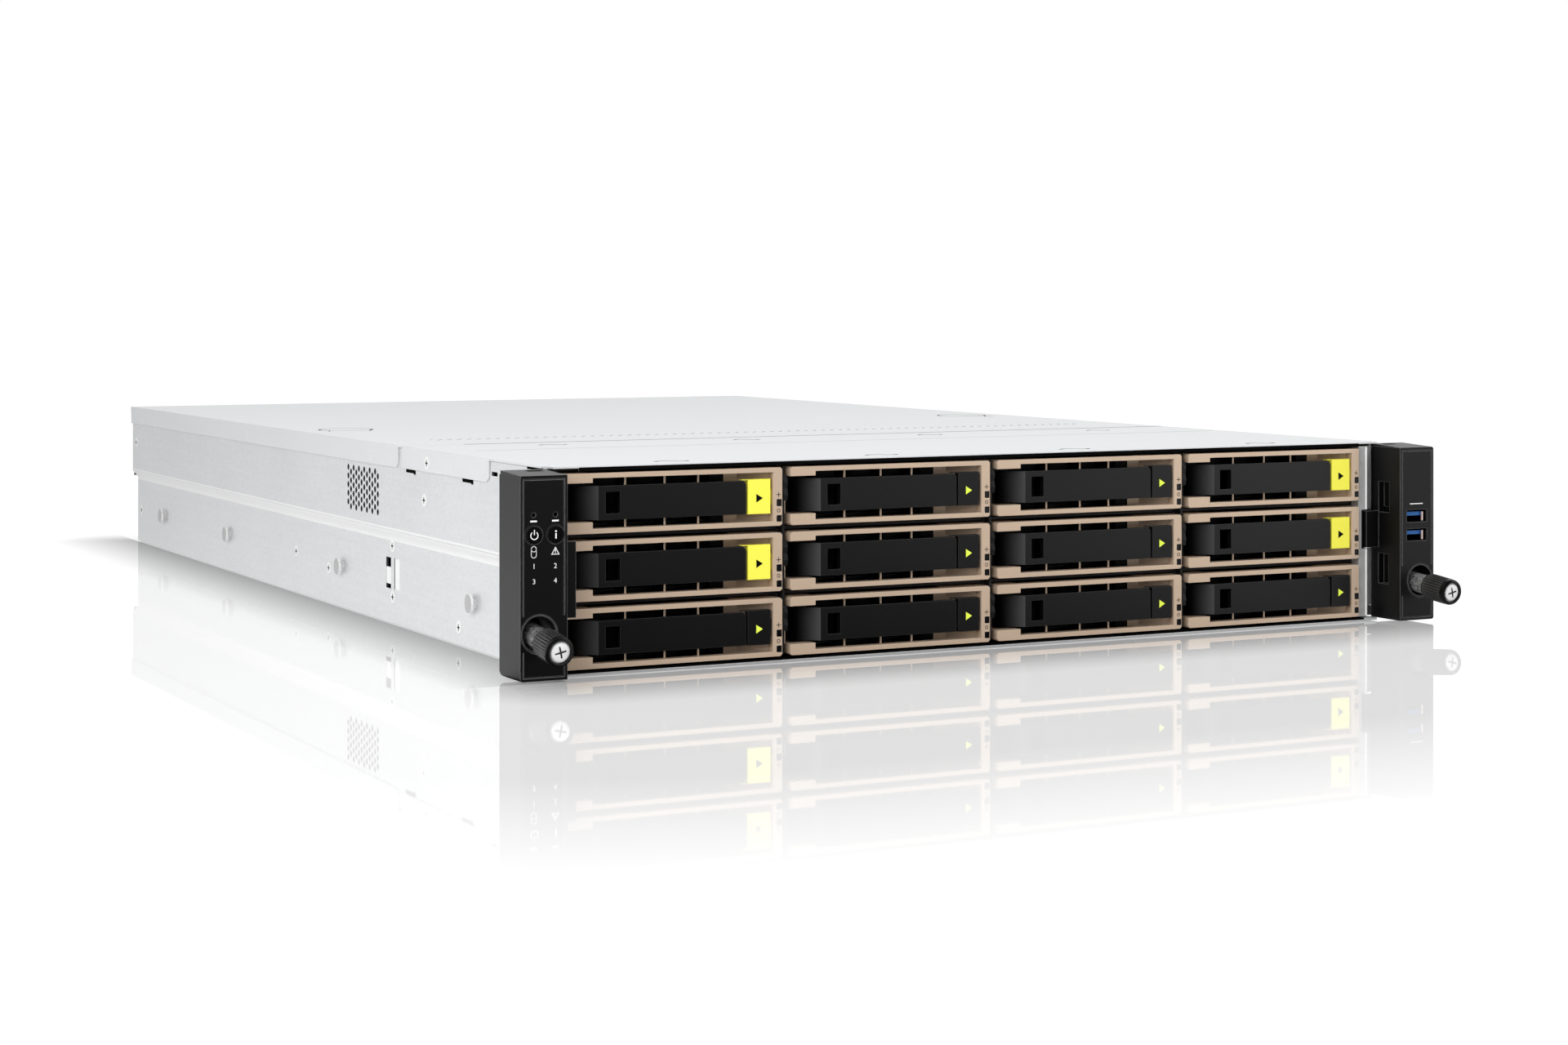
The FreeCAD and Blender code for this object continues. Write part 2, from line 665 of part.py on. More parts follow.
def strut(turn, start, end):
    """Bar of a fan's rear spider, between two radii at one angle."""
    along = Vector(math.cos(turn), math.sin(turn), 0)
    across = Vector(-math.sin(turn), math.cos(turn), 0) * 2
    corners = [along * start - across, along * end - across, along * end + across, along * start + across]
    return polygon([(corner.x, corner.y) for corner in corners])


def add_blades(body):
    """Five pitched blades round the hub."""
    lean = math.radians(38)
    along = Vector(math.cos(lean), math.sin(lean), 0) * 12
    across = Vector(-math.sin(lean), math.cos(lean), 0) * 0.7
    middle = Vector(0, 17, 0)
    corners = [middle - along - across, middle + along - across,
               middle + along + across, middle - along + across]
    blade = grow(body, "XY", 14, [polygon([(corner.x, corner.y) for corner in corners])], 21.5)
    ring = body.newObject("PartDesign::PolarPattern", "blade_pattern")
    ring.Originals = [blade]
    ring.Axis = ([item for item in body.Origin.OriginFeatures if item.Role == "Y_Axis"][0], [""])
    ring.Angle = 360
    ring.Occurrences = 5
    body.Tip = ring


# ---- mainboard, heat sinks and power supplies -----------------------------------------------------

def make_board():
    low, top = size("board_low"), size("board_low + board_metal")
    pieces = [block("board", -214, 262, "board_low", 350, 446, "board_metal")]
    for number, x in enumerate((-187, -121, -46, 18, 84)):
        for depth in (280, 690):
            pieces.append(block("standoff_%d_%d" % (number, depth), x, depth, 1.3, 6, 6, low - 1.3))
    for number in range(16):
        group = number // 4
        x = (-208, -92, -62, 54)[group] + 8 * (number % 4)
        pieces.append(block("memory_module_%d" % number, x, 330, top, 5.2, 140, 32))
    for number, x in enumerate((-168, -22)):
        pieces.append(block("processor_%d" % number, x, 360, top, 62, 72, 4))
    for number in range(6):
        pieces.append(block("slot_%d" % number, -206 + 20.32 * number, 560, top, 7.5, 110, 11))
    pieces.append(make_rear_ports(top))
    publish("mainboard", pieces)


def make_rear_ports(top):
    """Row of receptacles along the rear edge, each open to the rear."""
    body = new_body("rear_ports")
    sockets = ((-44, 15, 13), (-24, 15, 13), (0, 16, 14), (20, 16, 14), (44, 31, 12), (84, 31, 12))
    for x, wide, tall in sockets:
        grow(body, "XZ", 692, [box(x, top, x + wide, top + tall)], 20)
        carve(body, "XZ", 700, [box(x + 1.2, top + 1.2, x + wide - 1.2, top + tall - 1.2)], 13)
    return body


def make_heat_sinks():
    """Two passive coolers: a base plate, and a comb of thin fins along the air flow."""
    low, width, fins = size("board_low + board_metal") + 4.1, 70, 11
    pitch = (width - 1.2) / (fins - 1)
    pieces = []
    for number, left in enumerate((-172, -26)):
        pieces.append(block("sink_base_%d" % number, left, 352, low, width, 88, 5))
        for fin in range(fins):
            x = left + fin * pitch
            pieces.append(block("fin_%d_%d" % (number, fin), x, 352, low + 5, 1.2, 88, 71 - low))
    publish("heat_sinks", pieces)


def make_supplies():
    wide, tall, deep = size("supply_width"), size("supply_height"), size("supply_length")
    body = new_body("supply_case")
    grow(body, "XZ", 0, [box(0, 0, "supply_width", "supply_height")], "supply_length")
    inlet = polygon([(45.2, 5.2), (69.8, 5.2), (69.8, 17.4), (65.4, 21.8), (49.6, 21.8), (45.2, 17.4)])
    pins = [box(52, 9.4, 53.6, 13.4), box(61.4, 9.4, 63.0, 13.4), box(56.7, 14.4, 58.3, 18.4)]
    carve(body, "XZ", deep - 17, [inlet], 18)
    grow(body, "XZ", deep - 17.5, pins, 14)
    carve(body, "XZ", deep - 6, [box(5, 5 + 5 * row, 40, 7.6 + 5 * row) for row in range(6)], 7)
    handle = polygon([(7, deep - 1), (11, deep - 1), (11, deep + 15), (13.5, deep + 17.5), (32, deep + 17.5),
                      (34.5, deep + 15), (34.5, deep - 1), (38.5, deep - 1), (38.5, deep + 17),
                      (34, deep + 21.5), (11.5, deep + 21.5), (7, deep + 17)])
    grow(body, "XY", 14, [handle], 11)
    latch = new_body("supply_latch")
    grow(latch, "XZ", deep + 0.3, [box(45, 26, 52, 35)], 11)
    for number in range(2):
        z = "supply_low + %d * supply_pitch" % number
        y = "chassis_depth + 1.5 - supply_length"
        publish("power_supply_%d" % (number + 1), [body], "supply_x", y, z)
        publish("supply_latch_%d" % (number + 1), [latch], "supply_x", y, z)


# ---- checks and export ---------------------------------------------------------------------------

def check_features():
    for item in DOC.Objects:
        if "Invalid" in item.State or "Error" in item.State:
            raise RuntimeError("%s failed: %s" % (item.Name, item.State))
        if item.TypeId == "PartDesign::Pocket":
            before = item.BaseFeature.Shape.Volume
            if item.Shape.Volume > before - 0.01:
                raise RuntimeError("%s cuts nothing" % item.Name)


def export_nodes():
    os.makedirs("parts", exist_ok=True)
    for node in PUBLISHED:
        if node.Shape.isNull() or not node.Shape.isValid():
            raise RuntimeError("%s has no valid shape" % node.Label)
        node.Shape.exportStep("parts/%s.step" % node.Label)


def main():
    fill_sheet()
    make_chassis()
    make_front_cover()
    make_rear_cover()
    make_cage()
    make_backplane()
    make_trays()
    make_ears()
    make_thumbscrews()
    make_fans()
    make_board()
    make_heat_sinks()
    make_supplies()
    DOC.recompute()
    check_features()
    export_nodes()
    print("%d nodes written" % len(PUBLISHED))


main()
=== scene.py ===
"""Looks of a two-unit rack server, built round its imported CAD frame.

Laid out as a Blender add-on and run as a script: one operator for each group of pieces, and one for
the stage. The frame is in metres: X to the right seen from the front, Y from the front to the rear,
Z up, with the origin on the underside. The fittings are given in millimetres in the same frame, and
the mesh tools turn them into metres.
"""

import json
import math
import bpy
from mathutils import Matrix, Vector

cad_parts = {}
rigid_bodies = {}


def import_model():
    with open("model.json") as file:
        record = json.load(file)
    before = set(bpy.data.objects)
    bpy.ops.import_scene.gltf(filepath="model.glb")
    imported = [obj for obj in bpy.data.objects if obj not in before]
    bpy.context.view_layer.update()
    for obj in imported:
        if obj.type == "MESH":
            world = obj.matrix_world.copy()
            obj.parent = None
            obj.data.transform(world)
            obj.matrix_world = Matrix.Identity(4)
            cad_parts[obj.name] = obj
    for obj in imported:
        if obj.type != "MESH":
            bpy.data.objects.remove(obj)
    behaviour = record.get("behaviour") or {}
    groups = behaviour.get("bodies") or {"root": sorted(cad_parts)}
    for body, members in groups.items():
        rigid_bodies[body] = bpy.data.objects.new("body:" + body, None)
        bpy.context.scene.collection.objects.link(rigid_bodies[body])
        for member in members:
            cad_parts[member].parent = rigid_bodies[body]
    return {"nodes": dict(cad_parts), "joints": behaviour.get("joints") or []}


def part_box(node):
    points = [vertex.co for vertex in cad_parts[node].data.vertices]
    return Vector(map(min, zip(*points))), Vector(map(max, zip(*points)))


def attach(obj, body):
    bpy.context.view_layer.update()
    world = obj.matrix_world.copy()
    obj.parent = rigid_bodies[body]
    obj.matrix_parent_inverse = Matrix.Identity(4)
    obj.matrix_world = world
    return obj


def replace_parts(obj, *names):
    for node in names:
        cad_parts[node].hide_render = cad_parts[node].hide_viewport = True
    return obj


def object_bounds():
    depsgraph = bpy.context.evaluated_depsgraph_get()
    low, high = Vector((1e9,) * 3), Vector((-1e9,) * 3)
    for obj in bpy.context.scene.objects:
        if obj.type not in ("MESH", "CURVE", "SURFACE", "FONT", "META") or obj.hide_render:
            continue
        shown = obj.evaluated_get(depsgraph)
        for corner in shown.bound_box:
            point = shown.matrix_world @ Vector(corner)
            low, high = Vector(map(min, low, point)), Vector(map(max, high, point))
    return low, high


bl_info = {
    "name": "Rack server looks",
    "version": (1, 0, 0),
    "blender": (4, 5, 0),
    "location": "3D View > Sidebar > Server",
    "description": "Finishes, small fittings and stage for a two-unit rack server",
    "category": "Object",
}

import bmesh
import bpy
from bpy.props import FloatProperty, FloatVectorProperty, IntProperty, PointerProperty
from mathutils import Matrix, Vector

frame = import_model()
CAD_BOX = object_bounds()

MM = 0.001
ROWS = (1, 2, 3)
COLUMNS = (1, 2, 3, 4)
PLACES = ["%d_%d" % (row, column) for row in ROWS for column in COLUMNS]
YELLOW_PLACES = ("1_1", "2_1", "1_4", "2_4")
SIDES = ((-1, "left"), (1, "right"))

# Places on the CAD in millimetres
FIRST_BEZEL = -214.8                # left edge of the first column's bezels
BAY_PITCH = 106.6
FIRST_ROW = 15.07                   # middle of the lowest row
ROW_PITCH = 28.57
BOARD_TOP = 9.6                     # upper side of the mainboard
LOWER_WALL = 218.0                  # outsides of the side walls, from the middle
UPPER_WALL = 221.5
FLANGE = 222.4                      # outside of the cover's flange
EAR_FACE = -23.5
EAR_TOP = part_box("left_ear")[1].z / MM
COVER_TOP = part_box("rear_cover")[1].z / MM
POWER_X = -235.2
LOCATOR_X = -225.6
BUTTON_LEVEL = 61.3
PORT_LEVELS = (49.2, 40.0)          # undersides of the two ports

PRINT_FRONT, PRINT_BACK = -0.02, 0.1    # depths of a printed mark, from the face that it is on


def colour(name, value, text):
    """A colour that the user can change, in linear values."""
    return FloatVectorProperty(name=name, description=text, default=value, subtype="COLOR",
                               size=3, min=0.0, max=1.0)


def length(name, millimetres, text):
    """A length that the user can change."""
    return FloatProperty(name=name, description=text, default=millimetres * MM, subtype="DISTANCE",
                         unit="LENGTH", min=0.0, precision=5)


class ServerFinishes(bpy.types.PropertyGroup):
    """Colours of the finishes."""
    zinc: colour("Zinc", (0.77, 0.78, 0.79), "Galvanised sheet of the chassis")
    champagne: colour("Champagne", (0.68, 0.52, 0.385), "Metallic paint of the tray bezels")
    black: colour("Black", (0.0035, 0.0035, 0.0036), "Moulded black plastic")
    release: colour("Release yellow", (0.95, 0.9, 0.085), "Latches of hot-swap trays")
    print_white: colour("Print", (0.85, 0.85, 0.85), "Printed marks")
    port_blue: colour("Port blue", (0.01, 0.11, 0.36), "Tongue of a fast port")
    board_green: colour("Board green", (0.015, 0.11, 0.05), "Solder mask")


class ServerSizes(bpy.types.PropertyGroup):
    """Sizes of the small fittings."""
    edge: length("Edge", 0.4, "Radius of moulded edges")
    sheet_edge: length("Sheet edge", 0.5, "Radius of sheared and folded edges")
    seam: length("Seam", 0.45, "Width of the seam round the ear's panels")
    flutes: IntProperty(name="Flutes", description="Flutes round a thumbscrew", default=30, min=8)
    flute_depth: length("Flute depth", 0.5, "Depth of the flutes")
    screw: length("Screw", 6.6, "Head diameter of the chassis screws")


class ServerStage(bpy.types.PropertyGroup):
    """Camera and light."""
    camera_place: FloatVectorProperty(name="Camera", description="Place of the camera", size=3,
                                      default=(-0.6491, -1.0494, 0.1581), subtype="TRANSLATION",
                                      unit="LENGTH")
    camera_turn: FloatProperty(name="Turn", description="Turn of the camera about the vertical",
                               default=math.radians(-27.31), subtype="ANGLE", unit="ROTATION")
    lens: FloatProperty(name="Lens", description="Focal length on a 36 mm sensor", default=61.42,
                        subtype="DISTANCE_CAMERA", unit="CAMERA")
    rise: FloatProperty(name="Rise", description="Vertical shift of the lens", default=-0.1417,
                        subtype="FACTOR", unit="NONE")
    gloss: FloatProperty(name="Gloss", description="Share of mirror reflection in the floor by the part",
                         default=0.6, subtype="FACTOR", min=0.0, max=1.0)


def finishes():
    """Colours that the user has set."""
    return bpy.context.scene.server_finishes


def sizes():
    """Sizes that the user has set."""
    return bpy.context.scene.server_sizes


# ---- node tools ------------------------------------------------------------------------------

def feed(tree, socket, value):
    """Link a socket to another one, or set its own value."""
    if isinstance(value, bpy.types.NodeSocket):
        tree.links.new(value, socket)
    else:
        socket.default_value = value


def put(tree, kind, settings=None, **inputs):
    """Add a node, set its options, and fill or link its inputs by name."""
    node = tree.nodes.new(kind)
    for name, value in (settings or {}).items():
        setattr(node, name, value)
    for name, value in inputs.items():
        feed(tree, node.inputs[name.replace("_", " ")], value)
    return node


def compute(tree, operation, first, second=0.0):
    """A Math node's result."""
    node = put(tree, "ShaderNodeMath", {"operation": operation})
    for socket, value in zip(node.inputs, (first, second)):
        feed(tree, socket, value)
    return node.outputs[0]


def blend(tree, factor, first, second):
    """Mix of two colours."""
    node = put(tree, "ShaderNodeMix", {"data_type": "RGBA"})
    feed(tree, node.inputs[0], factor)
    for socket, value in ((node.inputs[6], first), (node.inputs[7], second)):
        feed(tree, socket, value if isinstance(value, bpy.types.NodeSocket) else (*value, 1.0))
    return node.outputs[2]


def choose(tree, factor, first, second):
    """Number between two others."""
    node = put(tree, "ShaderNodeMix")
    for index, value in ((0, factor), (2, first), (3, second)):
        feed(tree, node.inputs[index], value)
    return node.outputs[0]


def remap(tree, value, low, high, out_low, out_high):
    """Value moved from one span to another, and kept inside it."""
    return put(tree, "ShaderNodeMapRange", None, Value=value, From_Min=low, From_Max=high,
               To_Min=out_low, To_Max=out_high).outputs[0]


def object_place(tree):
    """Place on the piece, as a vector."""
    return put(tree, "ShaderNodeTexCoord").outputs["Object"]


def group_named(name, inputs, outputs, fill):
    """Shader node group, built once by `fill(tree, entry, leave)`."""
    found = bpy.data.node_groups.get(name)
    if found:
        return found
    tree = bpy.data.node_groups.new(name, "ShaderNodeTree")
    for label, default in inputs:
        socket = tree.interface.new_socket(label, in_out="INPUT", socket_type="NodeSocketFloat")
        socket.default_value = default
    for label, kind in outputs:
        tree.interface.new_socket(label, in_out="OUTPUT", socket_type=kind)
    fill(tree, tree.nodes.new("NodeGroupInput"), tree.nodes.new("NodeGroupOutput"))
    return tree


def use_group(tree, group, **inputs):
    """Place a group in a material with its own values."""
    return put(tree, "ShaderNodeGroup", {"node_tree": group}, **inputs)


# ---- shared effects --------------------------------------------------------------------------

def fill_grain(tree, entry, leave):
    """Nodes of the grain. Its relief is the fine noise alone."""
    place = object_place(tree)
    fine = put(tree, "ShaderNodeTexNoise", None, Vector=place, Scale=entry.outputs["Scale"], Detail=3.0)
    broad = put(tree, "ShaderNodeTexNoise", None, Vector=place, Scale=9.0, Detail=2.0)
    tree.links.new(fine.outputs[0], leave.inputs["Height"])
    mixed = compute(tree, "ADD", compute(tree, "MULTIPLY", broad.outputs[0], 0.6),
                    compute(tree, "MULTIPLY", fine.outputs[0], 0.4))
    tree.links.new(mixed, leave.inputs["Tone"])


def grain_group():
    """Fine grain of a moulded or painted surface, with a broad, faint unevenness."""
    return group_named("moulded_grain", [("Scale", 2500.0)],
                       [("Tone", "NodeSocketFloat"), ("Height", "NodeSocketFloat")], fill_grain)


def fill_spangle(tree, entry, leave):
    """Nodes of the spangle. The streaks run along the sheet, and are its relief."""
    place = object_place(tree)
    cells = put(tree, "ShaderNodeTexVoronoi", None, Vector=place, Scale=entry.outputs["Scale"])
    shade = put(tree, "ShaderNodeSeparateColor", None, Color=cells.outputs["Color"]).outputs[0]
    cloud = put(tree, "ShaderNodeTexNoise", None, Vector=place, Scale=14.0, Detail=4.0)
    stretch = put(tree, "ShaderNodeMapping", None, Vector=place, Scale=(1.0, 0.04, 1.0))
    streak = put(tree, "ShaderNodeTexNoise", None, Vector=stretch.outputs[0], Scale=420.0, Detail=2.0)
    total = compute(tree, "ADD", compute(tree, "MULTIPLY", shade, 0.3),
                    compute(tree, "MULTIPLY", cloud.outputs[0], 0.4))
    total = compute(tree, "ADD", total, compute(tree, "MULTIPLY", streak.outputs[0], 0.3))
    tree.links.new(total, leave.inputs["Tone"])
    tree.links.new(streak.outputs[0], leave.inputs["Height"])


def spangle_group():
    """Crystal spangle, clouding and rolling streaks of zinc-coated sheet."""
    return group_named("zinc_spangle", [("Scale", 220.0)],
                       [("Tone", "NodeSocketFloat"), ("Height", "NodeSocketFloat")], fill_spangle)


def fill_edges(tree, entry, leave):
    """Nodes of the edges. The mask is where the rounded normal leaves the plain one."""
    rounded = put(tree, "ShaderNodeBevel", {"samples": 4}, Radius=entry.outputs["Radius"])
    plain = put(tree, "ShaderNodeNewGeometry").outputs["True Normal"]
    along = put(tree, "ShaderNodeVectorMath", {"operation": "DOT_PRODUCT"})
    tree.links.new(rounded.outputs[0], along.inputs[0])
    tree.links.new(plain, along.inputs[1])
    tree.links.new(remap(tree, along.outputs["Value"], 0.80, 1.0, 1.0, 0.0), leave.inputs["Edge"])
    tree.links.new(rounded.outputs[0], leave.inputs["Normal"])


def edge_group():
    """Rounded edges: a normal that turns across the edge, and a mask along it."""
    return group_named("rounded_edges", [("Radius", 0.0003)],
                       [("Edge", "NodeSocketFloat"), ("Normal", "NodeSocketVector")], fill_edges)


# ---- materials -------------------------------------------------------------------------------

def lighter(tint, factor, lift=0.0):
    """Colour that is lighter or darker, and kept under white."""
    return tuple(min(1.0, part * factor + lift) for part in tint)


def finish(name, pattern, tint, contrast, edge, highlight_tint, tone_span, rough_span, bump):
    """Material whose tone and roughness follow a pattern, with fine relief and a painted highlight along its
    edges.

    `pattern` is a group and its scale, `edge` the radius of the rounded edges and the strength of their
    painted highlight.
    """
    material = bpy.data.materials.new(name)
    material.use_nodes = True
    tree = material.node_tree
    tree.nodes.clear()
    shader = put(tree, "ShaderNodeBsdfPrincipled")
    put(tree, "ShaderNodeOutputMaterial", None, Surface=shader.outputs[0])
    group, scale = pattern
    surface = use_group(tree, group, Scale=scale)
    edges = use_group(tree, edge_group(), Radius=edge[0])
    tone = surface.outputs["Tone"]
    base = blend(tree, remap(tree, tone, *tone_span, 0.0, 1.0), lighter(tint, 1 - contrast),
                 lighter(tint, 1 + contrast))
    # Painted highlight: the edge mask blends a lighter colour in along every edge.
    highlight_share = compute(tree, "MULTIPLY", edges.outputs["Edge"], edge[1])
    tree.links.new(blend(tree, highlight_share, base, highlight_tint), shader.inputs["Base Color"])
    tree.links.new(remap(tree, tone, *tone_span, *rough_span), shader.inputs["Roughness"])
    relief = put(tree, "ShaderNodeBump", None, Strength=bump, Distance=0.1 * MM,
                 Height=surface.outputs["Height"], Normal=edges.outputs["Normal"])
    tree.links.new(relief.outputs[0], shader.inputs["Normal"])
    return shader


def finish_moulded(name, tint, roughness, contrast, scale, edge, highlight_lift, bump=0.12, metallic=0.0,
                   specular=0.5):
    """Moulded plastic or paint: faint tone changes, fine grain and a painted highlight along the edges."""
    shader = finish(name, (grain_group(), scale), tint, contrast, (edge, 0.7), lighter(tint, 1.0, highlight_lift),
                    (0.3, 0.7), (roughness - 0.05, roughness + 0.06), bump)
    shader.inputs["Metallic"].default_value = metallic
    shader.inputs["Specular IOR Level"].default_value = specular


def finish_sheet(name, tint, roughness, metallic, contrast, edge, scale):
    """Zinc-coated or plain sheet metal, with a painted highlight along its edges."""
    shader = finish(name, (spangle_group(), scale), tint, contrast, (edge, 0.8), lighter(tint, 1.15),
                    (0.35, 0.65), (roughness - 0.04, roughness + 0.05), 0.04)
    shader.inputs["Metallic"].default_value = metallic


def material_named(name):
    """Material that has been built, or an error."""
    found = bpy.data.materials.get(name)
    if found is None:
        raise RuntimeError("material %s is missing" % name)
    return found


def shader_of(name):
    """Node tree of a material, and its Principled shader."""
    tree = material_named(name).node_tree
    return tree, next(node for node in tree.nodes if node.type == "BSDF_PRINCIPLED")


def along_bezel(tree):
    """Distance from the left edge of the bezel, which repeats at the pitch of the bays."""
    across = put(tree, "ShaderNodeSeparateXYZ", None, Vector=object_place(tree)).outputs["X"]
    start = compute(tree, "ADD", across, (10 * BAY_PITCH - FIRST_BEZEL) * MM)
    return compute(tree, "MODULO", start, BAY_PITCH * MM)


def shade_pocket(name):
    """Painted shade deep behind the lever, up to the ramp beside the latch: near-black and almost without
    shine in place of the paint.
    """
    first, last, floor = 12.6 * MM, 79.5 * MM, -3.2 * MM
    tree, shader = shader_of(name)
    along = along_bezel(tree)
    depth = put(tree, "ShaderNodeSeparateXYZ", None, Vector=object_place(tree)).outputs["Y"]
    inside = compute(tree, "MULTIPLY", compute(tree, "GREATER_THAN", along, first),
                     compute(tree, "LESS_THAN", along, last))
    bare = compute(tree, "MULTIPLY", inside, compute(tree, "GREATER_THAN", depth, floor))
    colour_in, metallic, shine = (shader.inputs[label] for label in
                                  ("Base Color", "Metallic", "Specular IOR Level"))
    painted = colour_in.links[0].from_socket
    # Painted shade behind the lever: near-black, not metallic, and with little shine.
    tree.links.new(blend(tree, bare, painted, (0.003, 0.003, 0.003)), colour_in)
    tree.links.new(choose(tree, bare, metallic.default_value, 0.0), metallic)
    tree.links.new(choose(tree, bare, shine.default_value, 0.1), shine)


def shade_scoop(name):
    """Painted shading of the hollow of a lever's scoop: near-black at its deep end, turning to a grey lighter
    than the plain black towards its rim, as the curve turns to the light.
    """
    deep, shallow, rim = 4.5 * MM, 15.0 * MM, 15.3 * MM
    tree, shader = shader_of(name)
    along = along_bezel(tree)
    hollow = compute(tree, "LESS_THAN", along, rim)
    height = compute(tree, "POWER", remap(tree, along, deep, shallow, 0.0, 1.0), 1.8)
    colour_in, shine = shader.inputs["Base Color"], shader.inputs["Specular IOR Level"]
    plain, full = colour_in.links[0].from_socket, shine.default_value
    shaded = blend(tree, height, (0.0005, 0.0005, 0.0005), (0.05, 0.05, 0.052))
    tree.links.new(blend(tree, hollow, plain, shaded), colour_in)
    tree.links.new(choose(tree, hollow, full, choose(tree, height, 0.02, full)), shine)


def make_materials():
    """Build every finish: sheet metal, then mouldings and paint, then prints and shaded cuts."""
    tint, edge, folded = finishes(), sizes().edge, sizes().sheet_edge
    zinc, black = tuple(tint.zinc), tuple(tint.black)
    for name, shade, roughness, metallic, contrast, radius, scale in (
            ("zinc_sheet", zinc, 0.45, 0.45, 0.045, folded, 900.0),
            ("zinc_top", lighter(zinc, 1.04), 0.5, 0.3, 0.012, folded, 900.0),
            # Near-white zinc of the wall's bend: a painted highlight on the fold.
            ("bend_highlight_zinc", (0.93, 0.93, 0.93), 0.5, 0.2, 0.02, 0.1 * MM, 900.0),
            # Darker copy for the studs' sideways faces: painted shade.
            ("zinc_stud", (0.5, 0.5, 0.5), 0.4, 0.5, 0.05, 0.3 * MM, 900.0),
            ("screw_steel", (0.93, 0.93, 0.93), 0.42, 0.25, 0.03, 0.3 * MM, 900.0),
            ("bright_steel", (0.66, 0.66, 0.66), 0.28, 0.9, 0.1, 0.2 * MM, 600.0),
            ("mottled_steel", (0.42, 0.42, 0.42), 0.34, 0.7, 0.75, 0.2 * MM, 1400.0),
            # Near-black for the chassis sheet's inside: painted shade.
            ("inner_steel", (0.07, 0.07, 0.073), 0.5, 0.3, 0.05, 0.25 * MM, 220.0),
            ("channel_steel", (0.6, 0.6, 0.595), 0.35, 0.4, 0.06, 0.25 * MM, 220.0),
            ("cage_steel", (0.42, 0.43, 0.44), 0.38, 0.85, 0.05, 0.25 * MM, 220.0),
            # Near-black steel, also used as painted shade in the gaps between the bays.
            ("dark_steel", (0.012, 0.012, 0.013), 0.5, 0.2, 0.2, 0.25 * MM, 220.0),
            ("fin_aluminium", (0.74, 0.75, 0.76), 0.35, 0.9, 0.06, 0.25 * MM, 220.0)):
        finish_sheet(name, shade, roughness, metallic, contrast, radius, scale)
    finish_moulded("champagne_paint", tuple(tint.champagne), roughness=0.36, contrast=0.03, scale=3200.0,
                   bump=0.06, edge=edge, highlight_lift=0.16, metallic=0.35)
    shade_pocket("champagne_paint")
    finish_moulded("black_moulding", black, roughness=0.42, contrast=0.3, scale=2600.0, bump=0.16,
                   edge=edge, highlight_lift=0.36, specular=0.36)
    for name in ("black_lever", "black_latch"):
        finish_moulded(name, black, roughness=0.38, contrast=0.3, scale=3000.0, edge=edge, highlight_lift=0.07)
    shade_scoop("black_lever")
    finish_moulded("black_knob", (0.001, 0.001, 0.001), roughness=0.2, contrast=0.2, scale=2600.0,
                   bump=0.03, edge=0.2 * MM, highlight_lift=0.16, specular=0.2)
    # Grey of the buttons' rims: a painted highlight.
    finish_moulded("ring_highlight_grey", (0.035, 0.035, 0.036), roughness=0.4, contrast=0.1, scale=2600.0,
                   bump=0.02, edge=0.1 * MM, highlight_lift=0.02, specular=0.3)
    finish_moulded("release_plastic", tuple(tint.release), roughness=0.42, contrast=0.01, scale=2600.0,
                   bump=0.03, edge=edge, highlight_lift=0.0)
    finish_moulded("smoked_lens", (0.003, 0.003, 0.004), roughness=0.12, contrast=0.2, scale=800.0,
                   bump=0.0, edge=0.2 * MM, highlight_lift=0.1, specular=0.3)
    finish_moulded("port_tongue", tuple(tint.port_blue), roughness=0.35, contrast=0.06, scale=2600.0,
                   bump=0.04, edge=0.1 * MM, highlight_lift=0.0)
    finish_moulded("port_spring", (0.86, 0.66, 0.62), roughness=0.3, contrast=0.06, scale=2600.0,
                   bump=0.04, edge=0.1 * MM, highlight_lift=0.0, metallic=0.6)
    finish_moulded("board_mask", tuple(tint.board_green), roughness=0.35, contrast=0.3, scale=900.0,
                   bump=0.1, edge=0.2 * MM, highlight_lift=0.03)
    # Dark plastic, also the painted shade inside the supplies' vent slots.
    finish_moulded("socket_plastic", (0.02, 0.02, 0.022), roughness=0.5, contrast=0.2, scale=2000.0,
                   bump=0.1, edge=0.2 * MM, highlight_lift=0.04)
    # Near-white for painted highlights on folds, tabs and pressed rims.
    finish_moulded("painted_highlight_white", (0.97, 0.97, 0.97), roughness=0.5, contrast=0.0, scale=900.0, bump=0.0,
                   edge=0.1 * MM, highlight_lift=0.0)
    for name, shade, contrast, specular in (
            ("white_print", tuple(tint.print_white), 0.02, 0.5),
            ("triangle_print", (0.80, 0.95, 0.08), 0.03, 0.5),
            # Black print, also the painted shade inside the ports.
            ("black_print", (0.004, 0.004, 0.004), 0.1, 0.1),
            ("brown_print", (0.035, 0.02, 0.012), 0.1, 0.1)):
        finish_moulded(name, shade, roughness=0.5, contrast=contrast, scale=2600.0, bump=0.02,
                       edge=0.1 * MM, highlight_lift=0.0, specular=specular)
    for name, level, blue, contrast in (("deep_shadow", 0.003, 0.003, 0.2), ("grey_shadow", 0.07, 0.07, 0.1),
                                        ("soft_shadow", 0.25, 0.26, 0.1)):
        finish_moulded(name, (level, level, blue), roughness=0.9, contrast=contrast, scale=900.0, bump=0.0,
                       edge=0.1 * MM, highlight_lift=0.0, specular=0.02)


def wear(node, name):
    """Give a CAD node its finish."""
    slots = frame["nodes"][node].data.materials
    slots.clear()
    slots.append(material_named(name))


# ---- mesh tools, in millimetres --------------------------------------------------------------

def built_mesh(name, build):
    """Plain mesh made by `build(bm)`."""
    bm = bmesh.new()
    build(bm)
    mesh = bpy.data.meshes.new(name)
    bm.to_mesh(mesh)
    bm.free()
    return mesh


